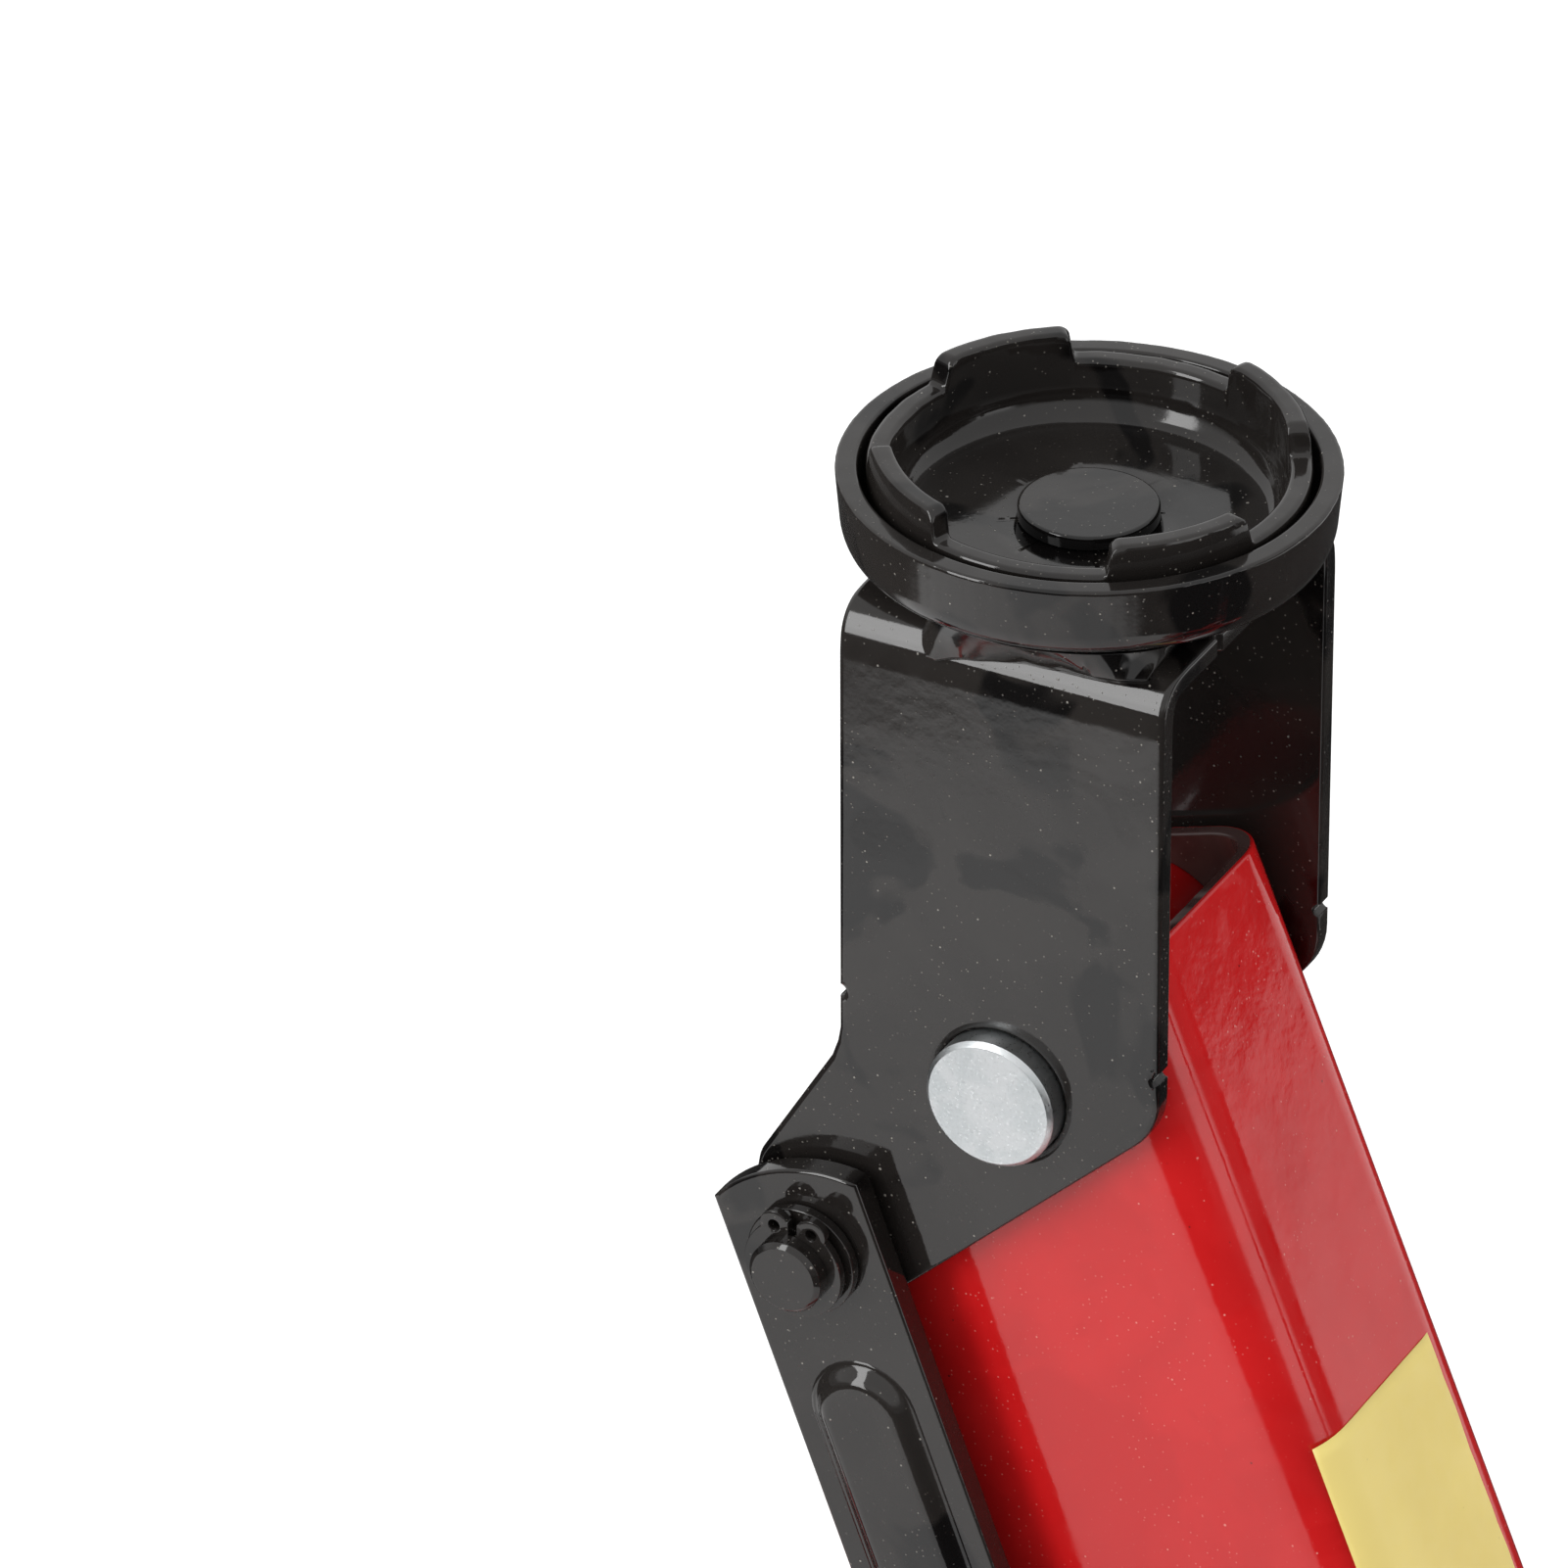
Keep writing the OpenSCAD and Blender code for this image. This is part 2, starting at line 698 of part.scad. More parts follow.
module front_roller(s) {
    groove_r = 2.2;
    hub_r = axle_r + 7;
    web = 3;
    edge = 1.5;
    rim_r = roller_r - 4;
    w = roller_w;
    color([0.14, 0.14, 0.14]) mirror([0, s > 0 ? 0 : 1, 0])
        translate([axle[0], roller_in, axle[1]]) rotate([-90, 0, 0]) rotate_extrude($fn = 96)
            difference() {
                polygon([[axle_r + running, 0], [hub_r, 0], [hub_r + 2, web], [rim_r - 2, web],
                    [rim_r, 0], [roller_r - edge, 0], [roller_r, edge], [roller_r, w - edge],
                    [roller_r - edge, w], [rim_r, w], [rim_r - 2, w - web], [hub_r + 2, w - web],
                    [hub_r, w], [axle_r + running, w]]);
                for (y = [w/3, w*2/3]) translate([roller_r + 1, y]) circle(groove_r);
            }
}

module front_roller_left() {
    front_roller(1);
}

module front_roller_right() {
    front_roller(-1);
}

module front_washers() {
    band = 5;
    color([0.7, 0.7, 0.7]) for (s = sides) mirror([0, s > 0 ? 0 : 1, 0]) {
        ring_y(axle, axle_r + band, axle_r + fixed, outer_y, roller_in - gap);
        ring_y(axle, axle_r + band, axle_r + fixed, roller_out + gap, roller_out + gap + washer_t);
    }
}

module front_clips() {
    groove = roller_out + 2*gap + washer_t;
    color([0.3, 0.3, 0.3]) for (s = sides) mirror([0, s > 0 ? 0 : 1, 0])
        circlip(axle, axle_r - deep_groove_d, groove, groove + clip_t);
}

// ---- Rear casters ----
fork_in = caster_w/2 + 1.5;
fork_out = fork_in + fork_t;
caster_axle_r = 4;
race_r = 15;
axle_head_h = 1.6;
wheel_axle = [caster_x - caster_trail, caster_r];

module at_caster(s) {
    translate([0, s*caster_y, 0]) children();
}

module caster_races() {
    color([0.7, 0.7, 0.7]) for (s = sides) at_caster(s) translate([caster_x, 0, 0]) difference() {
        translate([0, 0, fork_top + gap]) cylinder(r1 = race_r, r2 = race_r - 2, h = race_h - gap);
        translate([0, 0, fork_top - 1]) cylinder(r = stud_r + fixed, h = race_h + 2);
    }
}

module caster_fork(s) {
    color([0.7, 0.7, 0.72]) at_caster(s) difference() {
        union() {
            translate([caster_x, 0, fork_top - fork_t]) cylinder(r = fork_out + 1.5, h = fork_t);
            for (y = sides) plate(y > 0 ? fork_in : -fork_out, y > 0 ? fork_out : -fork_in)
                belt([[wheel_axle[0], wheel_axle[1], caster_axle_r + 2.5],
                    [caster_x + 9, fork_top - 0.6, 0], [caster_x - 11, fork_top - 0.6, 0]]);
        }
        bar_y(wheel_axle, caster_axle_r + fixed, -fork_out - 1, fork_out + 1);
        translate([caster_x, 0, 0]) cylinder(r = stud_r + running, h = fork_top + 1);
    }
}

module caster_fork_left() {
    caster_fork(1);
}

module caster_fork_right() {
    caster_fork(-1);
}

// King bolts fixed in the wings: the forks turn on them below the races.
module caster_king_bolts() {
    head_z = fork_top - fork_t - gap;
    head_h = 3;
    end_z = wing_z + wing_t + 10;
    edge = 0.8;
    color([0.65, 0.65, 0.65]) for (s = sides) at_caster(s) translate([caster_x, 0, 0]) rotate_extrude()
        polygon([[0, head_z - head_h], [stud_r + 3, head_z - head_h], [stud_r + 3, head_z],
            [stud_r, head_z], [stud_r, end_z - edge], [stud_r - edge, end_z], [0, end_z]]);
}

module caster_nuts() {
    flange_r = 8.5;
    flange_h = 1.2;
    hex_h = 5.5;
    color([0.75, 0.75, 0.75]) for (s = sides) at_caster(s)
        translate([caster_x, 0, wing_z + wing_t]) difference() {
            union() {
                cylinder(r = flange_r, h = flange_h);
                translate([0, 0, flange_h]) cylinder(r = valve_w/2/cos(30), h = hex_h, $fn = 6);
            }
            translate([0, 0, -1]) cylinder(r = stud_r + fixed, h = flange_h + hex_h + 2);
        }
}

module caster_axle(s) {
    color([0.7, 0.7, 0.7]) at_caster(s) union() {
        pin_y(wheel_axle, caster_axle_r, -fork_out - 2, fork_out + 2, 0.4);
        for (y = sides)
            bar_y(wheel_axle, caster_axle_r + 2.2, y > 0 ? fork_out : -fork_out - axle_head_h,
                y > 0 ? fork_out + axle_head_h : -fork_out);
    }
}

module caster_axle_left() {
    caster_axle(1);
}

module caster_axle_right() {
    caster_axle(-1);
}

module caster_wheel(s) {
    w = caster_w;
    hub_r = 8;
    edge = 1.5;
    rim_r = caster_r - 4;
    web = 3.5;
    color([0.16, 0.16, 0.16]) at_caster(s) translate([wheel_axle[0], -w/2, wheel_axle[1]])
        rotate([-90, 0, 0]) rotate_extrude($fn = 96)
            polygon([[caster_axle_r + running, -1], [hub_r, -1], [hub_r, 2], [rim_r - 1, web],
                [rim_r, 0], [caster_r - edge, 0], [caster_r, edge], [caster_r, w - edge],
                [caster_r - edge, w], [rim_r, w], [rim_r - 1, w - web], [hub_r, w - 2],
                [hub_r, w + 1], [caster_axle_r + running, w + 1]]);
}

module caster_wheel_left() {
    caster_wheel(1);
}

module caster_wheel_right() {
    caster_wheel(-1);
}

// ---- Hydraulic unit ----
bolt_in = 8;
block_bolt_points = [[block_front - 10, block_bottom + bolt_in],
    [block_rear + 12, block_bottom + bolt_in], [block_front - 10, block_top - bolt_in]];
bolt_depth = 12;
bolt_head_h = 5.3;
plunger_bottom = block_bottom + 10;
valve_y = 18;
valve_z = block_bottom + 16;
release_depth = 20;
safety_depth = 14;
tank_t = 2.5;
tube_t = 3.5;

module pump_block() {
    color([0.35, 0.35, 0.36]) difference() {
        union() {
            translate([block_rear, -inner_y, block_bottom])
                cube([block_front - block_rear, chassis_w, block_low_top - block_bottom]);
            translate([block_step, -inner_y, block_low_top - 1])
                cube([block_front - block_step, chassis_w, block_top - block_low_top + 1]);
        }
        bar_x(piston_r + running, bore_end, block_front + 1, 0, ram_z);
        translate([plunger_x, 0, plunger_bottom])
            cylinder(r = plunger_r + running, h = block_top);
        bar_x(valve_r + running, block_rear - 1, block_rear + release_depth + 2, valve_y, valve_z);
        bar_x(valve_r + fixed, block_rear - 1, block_rear + safety_depth + 2, -valve_y, valve_z);
        for (p = block_bolt_points, s = sides)
            bar_y(p, block_bolt_r + fixed, s > 0 ? inner_y - bolt_depth - 2 : -inner_y - 1,
                s > 0 ? inner_y + 1 : bolt_depth + 2 - inner_y);
    }
}

module block_bolts() {
    color([0.7, 0.7, 0.7]) for (p = block_bolt_points, s = sides)
        mirror([0, s > 0 ? 0 : 1, 0]) union() {
            bar_y(p, block_bolt_r, inner_y - bolt_depth, outer_y + 0.5);
            hex_y(p, block_bolt_w, outer_y, outer_y + bolt_head_h);
        }
}

module cylinder_tube() {
    color([0.6, 0.6, 0.6]) difference() {
        bar_x(piston_r + tube_t, block_front, gland_rear, 0, ram_z);
        bar_x(piston_r + running, block_front - 1, gland_rear + 1, 0, ram_z);
    }
}

module reservoir_tube() {
    color([0.72, 0.1, 0.1]) difference() {
        bar_x(reservoir_r, block_front, gland_rear, 0, ram_z);
        bar_x(reservoir_r - tank_t, block_front - 1, gland_rear + 1, 0, ram_z);
        translate([filler_x, 0, ram_z + reservoir_r - 6]) cylinder(r = filler_r + fixed, h = 10);
    }
}

module gland_nut() {
    collar = 6;
    hex_r = 19;
    color([0.5, 0.5, 0.5]) difference() {
        union() {
            bar_x(reservoir_r, gland_rear, gland_rear + collar, 0, ram_z);
            translate([gland_rear + collar - 1, 0, ram_z]) rotate([0, 90, 0])
                cylinder(r = hex_r, h = gland_front - gland_rear - collar + 1, $fn = 6);
        }
        bar_x(rod_r + running, gland_rear - 1, gland_front + 1, 0, ram_z);
    }
}

module filler_plug() {
    top = ram_z + reservoir_r;
    color([0.1, 0.1, 0.1]) translate([filler_x, 0, top]) union() {
        translate([0, 0, -5]) cylinder(r = filler_r, h = 6);
        translate([0, 0, 0.2]) cylinder(r = filler_r + 2, h = 2.2);
    }
}

// Groove of the piston's seal: place, width and depth
seal_x = 4;
seal_w = 4;
seal_d = 2;

module piston_rod() {
    rear = piston_front - piston_len;
    color([0.8, 0.8, 0.82]) difference() {
        union() {
            bar_x(piston_r, rear, piston_front, 0, ram_z);
            bar_x(rod_r, piston_front - 1, yoke_x - yoke_rear, 0, ram_z);
        }
        translate([rear + seal_x, 0, ram_z]) rotate([0, 90, 0]) difference() {
            cylinder(r = piston_r + 1, h = seal_w);
            translate([0, 0, -1]) cylinder(r = piston_r - seal_d, h = seal_w + 2);
        }
    }
}

module piston_seal() {
    rear = piston_front - piston_len;
    color([0.1, 0.1, 0.1]) difference() {
        bar_x(piston_r, rear + seal_x + 0.1, rear + seal_x + seal_w - 0.1, 0, ram_z);
        bar_x(piston_r - seal_d, rear + seal_x - 1, rear + seal_x + seal_w + 1, 0, ram_z);
    }
}

// Fork end of the ram: the crank pin rises and falls in its upright slot.
module rod_yoke() {
    corner = 5;
    slot_h = crank_rise/2 + slot_w;
    color([0.4, 0.4, 0.42]) plate(-yoke_half, yoke_half) translate([yoke_x, ram_z]) difference() {
        belt([[corner - yoke_rear, 1 - slot_h, corner], [slot_w, 1 - slot_h, corner],
            [slot_w, slot_h - 1, corner], [corner - yoke_rear, slot_h - 1, corner]]);
        square([2*slot_w, 2*(slot_h - slot_w)], center = true);
        for (z = sides) translate([0, z*(slot_h - slot_w)]) circle(slot_w);
    }
}

module pump_plunger() {
    tip = plunger_bottom + 11;
    color([0.8, 0.8, 0.82]) translate([plunger_x, 0, 0]) union() {
        translate([0, 0, tip]) cylinder(r = plunger_r, h = cap_top - cap_t - tip);
        translate([0, 0, cap_top - cap_t]) cylinder(r = cap_r, h = cap_t);
    }
}

module pump_spring() {
    wire = 0.9;
    coil_r = plunger_r + 2.2;
    turns = 4;
    z0 = block_low_top + 0.2;
    z1 = cap_top - cap_t - 0.1;
    pitch = (z1 - z0 - 2*wire)/(turns - 1);
    color([0.5, 0.5, 0.5]) translate([plunger_x, 0, 0]) union() {
        for (i = [0:turns - 1])
            translate([0, 0, z0 + wire + i*pitch]) rotate_extrude()
                translate([coil_r, 0]) circle(wire, $fn = 16);
        // Upright lengths that join the turns
        for (i = [0:turns - 2]) rotate(i*180)
            translate([coil_r, 0, z0 + wire + i*pitch]) cylinder(r = wire - 0.2, h = pitch);
    }
}

module release_valve() {
    knob_r = 7;
    knob_l = 14;
    slot = 3;
    slot_d = 5;
    color([0.8, 0.8, 0.8]) difference() {
        union() {
            bar_x(valve_r, block_rear - 1, block_rear + release_depth, valve_y, valve_z);
            bar_x(knob_r, block_rear - knob_l, block_rear - gap, valve_y, valve_z);
        }
        translate([block_rear - knob_l - 1, valve_y - slot/2, valve_z - knob_r - 3])
            cube([slot_d + 1, slot, 2*knob_r + 6]);
    }
}

module safety_valve() {
    head_h = 6;
    color([0.75, 0.75, 0.75]) union() {
        bar_x(valve_r, block_rear - 1, block_rear + safety_depth, -valve_y, valve_z);
        translate([block_rear - head_h, -valve_y, valve_z]) rotate([0, 90, 0])
            cylinder(r = valve_w/2/cos(30), h = head_h - gap, $fn = 6);
    }
}

// ---- Handle, drawn along +X from its pivot and turned to point up and back ----
roller_local = [-roller_back*handle_side[0] - roller_drop*handle_side[1],
    roller_back*handle_side[1] - roller_drop*handle_side[0]];
socket_r = handle_r + 4.2;
socket_end = 62;
socket_floor = 16;
socket_play = 0.2;
lock_x = 48;
lock_boss = 4;
ear_in = 10;
ear_t = 4;
cap_r = 9.6;
// Length of the grip, and of the end it closes the tube with
grip_l = 105;
grip_end = 3;

module on_handle() {
    translate([handle_pivot[0], 0, handle_pivot[1]]) rotate([0, handle_angle - 180, 0]) children();
}

module handle_socket() {
    hub_r = 12;
    color([0.72, 0.1, 0.1]) on_handle() difference() {
        union() {
            bar_y([0, 0], hub_r, -inner_y + gap, inner_y - gap);
            bar_x(socket_r, 0, socket_end, 0, 0);
            for (s = sides) plate(s > 0 ? ear_in : -ear_in - ear_t, s > 0 ? ear_in + ear_t : -ear_in)
                belt([[0, 0, hub_r + 1], [14, 6, 6], [roller_local[0], roller_local[1], 6.5]]);
            translate([lock_x, 0, -socket_r - lock_boss]) cylinder(r = lock_r + 3, h = 2*lock_boss);
        }
        bar_y([0, 0], handle_bolt_r + running, -inner_y, inner_y);
        bar_x(handle_r + socket_play, socket_floor, socket_end + 1, 0, 0);
        bar_y(roller_local, roller_pin_r + fixed, -inner_y, inner_y);
        bar_y(roller_local, press_r + 1, -ear_in, ear_in);
        translate([lock_x, 0, -socket_r - lock_boss - 1]) cylinder(r = lock_r + fixed, h = 12);
    }
}

module socket_bolt() {
    head_h = 7;
    color([0.7, 0.7, 0.7]) union() {
        bar_y(handle_pivot, handle_bolt_r, -outer_y - head_h - 2, outer_y + 1);
        hex_y(handle_pivot, handle_bolt_w, outer_y, outer_y + head_h);
        hex_y(handle_pivot, handle_bolt_w, -outer_y - head_h, -outer_y);
    }
}

module press_roller() {
    color([0.65, 0.65, 0.65]) on_handle() union() {
        bar_y(roller_local, press_r, gap - ear_in, ear_in - gap);
        bar_y(roller_local, roller_pin_r, -ear_in - ear_t - 0.6, ear_in + ear_t + 0.6);
    }
}

module lock_screw() {
    base = socket_r + lock_boss;
    color([0.75, 0.75, 0.75]) on_handle() translate([lock_x, 0, 0]) mirror([0, 0, 1]) union() {
        translate([0, 0, handle_r + 0.1]) cylinder(r = lock_r, h = base - handle_r + 1);
        translate([0, 0, base + 0.3]) cylinder(r = 2*lock_r, h = 6);
    }
}

joint_x = handle_length*0.52;
tube_wall = 1.5;
spigot_l = 30;

module handle_lower() {
    color([0.2, 0.2, 0.2]) on_handle() difference() {
        bar_x(handle_r, socket_floor + 0.5, joint_x, 0, 0);
        bar_x(handle_r - tube_wall, socket_floor, joint_x + 1, 0, 0);
    }
}

module handle_upper() {
    spigot_r = handle_r - tube_wall - running;
    color([0.2, 0.2, 0.2]) on_handle() difference() {
        union() {
            bar_x(handle_r, joint_x + 0.2, handle_length - grip_end, 0, 0);
            bar_x(spigot_r, joint_x - spigot_l, joint_x + 1, 0, 0);
        }
        bar_x(spigot_r - tube_wall, joint_x - spigot_l - 1, handle_length, 0, 0);
    }
}

module handle_grip() {
    start = handle_length - grip_l;
    groove_w = 2;
    groove_depth = 0.8;
    pitch = 10;
    color([0.08, 0.08, 0.08]) on_handle() difference() {
        bar_x(grip_r, start, handle_length, 0, 0);
        bar_x(handle_r + fixed, start - 1, handle_length - grip_end + fixed, 0, 0);
        for (x = [start + 7:pitch:handle_length - 7]) translate([x, 0, 0]) rotate([0, 90, 0])
            difference() {
                cylinder(r = grip_r + 1, h = groove_w);
                translate([0, 0, -1]) cylinder(r = grip_r - groove_depth, h = groove_w + 2);
            }
    }
}

// ---- Every piece ----
saddle_cup();
saddle_rivet();
saddle_dish();
dish_weld();
head_bracket();
head_pin();
head_pin_clip();
link_front_shaft();
link_front_washers();
link_front_clips();
lift_arm();
arm_front_boss();
arm_rear_boss();
crank_pin();
link_left();
link_right();
link_rear_pins();
link_rear_spacers();
link_rear_clips();
side_plate_left();
side_plate_right();
pivot_shaft();
pivot_spacers();
pivot_nuts();
front_axle();
front_spacer_tube();
front_roller_left();
front_roller_right();
front_washers();
front_clips();
caster_races();
caster_nuts();
caster_fork_left();
caster_fork_right();
caster_king_bolts();
caster_axle_left();
caster_axle_right();
caster_wheel_left();
caster_wheel_right();
pump_block();
block_bolts();
cylinder_tube();
reservoir_tube();
gland_nut();
filler_plug();
piston_rod();
piston_seal();
rod_yoke();
pump_plunger();
pump_spring();
release_valve();
safety_valve();
handle_socket();
socket_bolt();
press_roller();
lock_screw();
handle_lower();
handle_upper();
handle_grip();
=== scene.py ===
import json
import math

import bmesh
import bpy
from mathutils import Matrix, Vector, geometry, noise


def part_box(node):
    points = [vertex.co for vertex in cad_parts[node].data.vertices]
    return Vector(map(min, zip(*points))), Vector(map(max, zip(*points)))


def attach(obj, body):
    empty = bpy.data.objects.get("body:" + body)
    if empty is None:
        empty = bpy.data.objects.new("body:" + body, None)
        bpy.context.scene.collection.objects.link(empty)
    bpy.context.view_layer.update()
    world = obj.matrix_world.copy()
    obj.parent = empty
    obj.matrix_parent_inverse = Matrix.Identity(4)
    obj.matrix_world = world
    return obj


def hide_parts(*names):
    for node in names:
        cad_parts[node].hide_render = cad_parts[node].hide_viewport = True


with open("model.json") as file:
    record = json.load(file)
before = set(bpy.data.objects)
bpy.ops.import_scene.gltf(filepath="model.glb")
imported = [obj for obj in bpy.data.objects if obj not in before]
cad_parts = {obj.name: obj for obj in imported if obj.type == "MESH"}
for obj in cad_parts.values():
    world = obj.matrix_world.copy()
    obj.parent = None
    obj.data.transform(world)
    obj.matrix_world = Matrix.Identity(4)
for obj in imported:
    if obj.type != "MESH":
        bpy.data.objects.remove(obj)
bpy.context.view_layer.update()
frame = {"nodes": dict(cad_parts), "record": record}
MM = 0.001


# ---- Where the main pieces are, in millimetres ----

def box_mm(node):
    lo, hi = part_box(node)
    return lo / MM, hi / MM


def centre_mm(node):
    lo, hi = box_mm(node)
    return (lo + hi) / 2


dish_lo, dish_hi = box_mm("saddle_dish")
SADDLE_X = (dish_lo.x + dish_hi.x) / 2
DISH_Z = dish_lo.z
DISH_R = (dish_hi.x - dish_lo.x) / 2
DISH_H = dish_hi.z - dish_lo.z
TOOTH_TOP = box_mm("saddle_cup")[1].z - DISH_Z
HEAD = centre_mm("head_pin")
PIVOT = centre_mm("pivot_shaft")
HEAD_Y = box_mm("head_bracket")[1].y
ARM_LINE = Vector((HEAD.x - PIVOT.x, 0, HEAD.z - PIVOT.z))
ARM_LENGTH = ARM_LINE.length
ALONG = ARM_LINE.normalized()
BACK = Vector((-ALONG.z, 0, ALONG.x))
ARM_Y = box_mm("lift_arm")[1].y
ARM_BACK = 22.8
ARM_CORNER = 8.5
ARM_T = 2.2
TAPER = math.radians(1.5)
# The arm's back is a plane through the head pin, turned by the taper.
BACK_ALONG = Vector((ALONG.x, 0, ALONG.z)) * math.cos(TAPER) - BACK * math.sin(TAPER)
BACK_UP = BACK * math.cos(TAPER) + ALONG * math.sin(TAPER)
crank_pin = centre_mm("crank_pin") - PIVOT
CRANK = (crank_pin.dot(ALONG), crank_pin.dot(BACK))


# ---- Materials ----

def add_node(tree, kind, ins=None, **props):
    """Adds a shader node; ins holds its inputs' values, or the sockets that feed them."""
    made = tree.nodes.new(kind)
    for key, value in props.items():
        setattr(made, key, value)
    for key, value in (ins or {}).items():
        if isinstance(value, bpy.types.NodeSocket):
            tree.links.new(value, made.inputs[key])
        else:
            made.inputs[key].default_value = value
    return made


class Paint:
    """A Principled material, and short names for the nodes that feed it."""

    def __init__(self, name, rough=0.3, metal=0.0, ior=1.5):
        self.mat = bpy.data.materials.new(name)
        self.mat.use_nodes = True
        self.tree = self.mat.node_tree
        self.shader = self.tree.nodes["Principled BSDF"]
        self.shader.inputs["Roughness"].default_value = rough
        self.shader.inputs["Metallic"].default_value = metal
        self.shader.inputs["IOR"].default_value = ior
        self.place = self.tree.nodes.new("ShaderNodeTexCoord").outputs["Object"]

    def node(self, kind, ins=None, **props):
        return add_node(self.tree, kind, ins, **props)

    def stretched(self, scale):
        return self.node("ShaderNodeMapping", {"Vector": self.place, "Scale": scale}).outputs[0]

    def noise(self, scale, detail=3.0, where=None, warp=0.0):
        ins = {"Vector": where or self.place, "Scale": scale, "Detail": detail, "Distortion": warp}
        return self.node("ShaderNodeTexNoise", ins).outputs["Fac"]

    def span(self, value, low, high, to_low=0.0, to_high=1.0):
        ins = {"Value": value, "From Min": low, "From Max": high, "To Min": to_low, "To Max": to_high}
        return self.node("ShaderNodeMapRange", ins, interpolation_type="SMOOTHSTEP").outputs[0]

    def combine(self, a, b, how="ADD"):
        return self.node("ShaderNodeMath", {0: a, 1: b}, operation=how, use_clamp=True).outputs[0]

    def blend(self, fac, a, b):
        """Mixes two colours, each a socket or three numbers."""
        a, b = (c if isinstance(c, bpy.types.NodeSocket) else (*c, 1) for c in (a, b))
        return self.node("ShaderNodeMix", {0: fac, 6: a, 7: b}, data_type="RGBA").outputs[2]

    def specks(self, pitch, radius, share=1.0):
        """Round dots, pitch and radius in millimetres, on a share of the cells."""
        cell = self.node("ShaderNodeTexVoronoi", {"Vector": self.place, "Scale": 1000 / pitch})
        dot = self.span(cell.outputs["Distance"], radius / pitch, radius / pitch * 0.45)
        rand = self.node("ShaderNodeSeparateColor", {"Color": cell.outputs["Color"]}).outputs[0]
        return self.combine(dot, self.span(rand, 1.0 - share, 1.01 - share), "MULTIPLY")

    def colour(self, socket):
        self.tree.links.new(socket, self.shader.inputs["Base Color"])

    def roughness(self, socket):
        self.tree.links.new(socket, self.shader.inputs["Roughness"])

    def bump(self, height, depth, strength=1.0, onto=None):
        """height is 0 to 1, depth its full depth in millimetres."""
        ins = {"Height": height, "Distance": depth * MM, "Strength": strength}
        if onto is not None:
            ins["Normal"] = onto
        out = self.node("ShaderNodeBump", ins).outputs[0]
        self.tree.links.new(out, self.shader.inputs["Normal"])
        return out


def gloss_paint(name, base, deep, wiped, light_dust, dark_dust, rough, dust=1.0):
    """Sprayed enamel: soft tone changes, wiped patches, orange peel and dust in the coat."""
    peel_depth = 0.012
    p = Paint(name, rough, ior=1.48)
    tone = p.blend(p.span(p.noise(38, 4, warp=0.6), 0.40, 0.62), base, deep)
    tone = p.blend(p.span(p.noise(46, 3, warp=0.9), 0.54, 0.60), tone, wiped)
    gathered = p.span(p.noise(60, 4, warp=0.9), 0.42, 0.60, 0.15, 1.0)
    fine = p.combine(p.specks(0.8, 0.16, 0.5), gathered, "MULTIPLY")
    coarse_dust = p.combine(p.specks(1.7, 0.18, 0.3), p.specks(4.6, 0.24, 0.4))
    pale = p.combine(p.combine(fine, 0.55, "MULTIPLY"), coarse_dust)
    dotted = p.blend(p.combine(pale, dust, "MULTIPLY"), tone, light_dust)
    dotted = p.blend(p.specks(4.2, 0.22, 0.35), dotted, dark_dust)
    p.colour(dotted)
    smudge = p.span(p.noise(52, 2, warp=1.2), 0.54, 0.60, rough, rough + 0.05)
    hair = p.noise(1, 2, p.stretched((90, 2600, 900)))
    p.roughness(p.combine(smudge, p.span(hair, 0.62, 0.80, 0.0, 0.015)))
    peel = p.bump(p.noise(620, 2), peel_depth)
    slow = p.bump(p.noise(120, 1), peel_depth * 4, onto=peel)
    p.bump(pale, 0.04, 0.6, onto=slow)
    return p.mat


def plated(name, base, tint, rough, grain=(300, 5200, 900)):
    """Zinc or turned steel: fine scratches, cloudy tint and a few darker spots."""
    p = Paint(name, rough, 1.0)
    cloud = p.blend(p.span(p.noise(240, 4, warp=0.5), 0.40, 0.64), base, tint)
    scratch = p.noise(1, 5, p.stretched(grain))
    scratched = p.span(scratch, 0.58, 0.76, 0.0, 0.35)
    marked = p.blend(scratched, cloud, [c * 0.6 for c in base])
    p.colour(p.blend(p.specks(3.4, 0.12, 0.3), marked, [c * 0.5 for c in base]))
    p.roughness(p.span(scratch, 0.3, 0.75, rough - 0.07, rough + 0.14))
    p.bump(scratch, 0.02, 0.6)
    return p.mat


def coarse(name, base, deep, rough, grit, depth, metal=0.0):
    """Cast, moulded or rubber surface: fine grit, with worn and dusty patches."""
    p = Paint(name, rough, metal)
    patch = p.blend(p.span(p.noise(60, 5, warp=0.4), 0.38, 0.66), base, deep)
    dust = p.combine(p.specks(2.2, 0.2, 0.6), 0.5, "MULTIPLY")
    p.colour(p.blend(dust, patch, (0.25, 0.24, 0.22)))
    p.roughness(p.span(p.noise(180, 3), 0.35, 0.7, rough - 0.08, rough + 0.12))
    p.bump(p.noise(grit, 4), depth)
    return p.mat


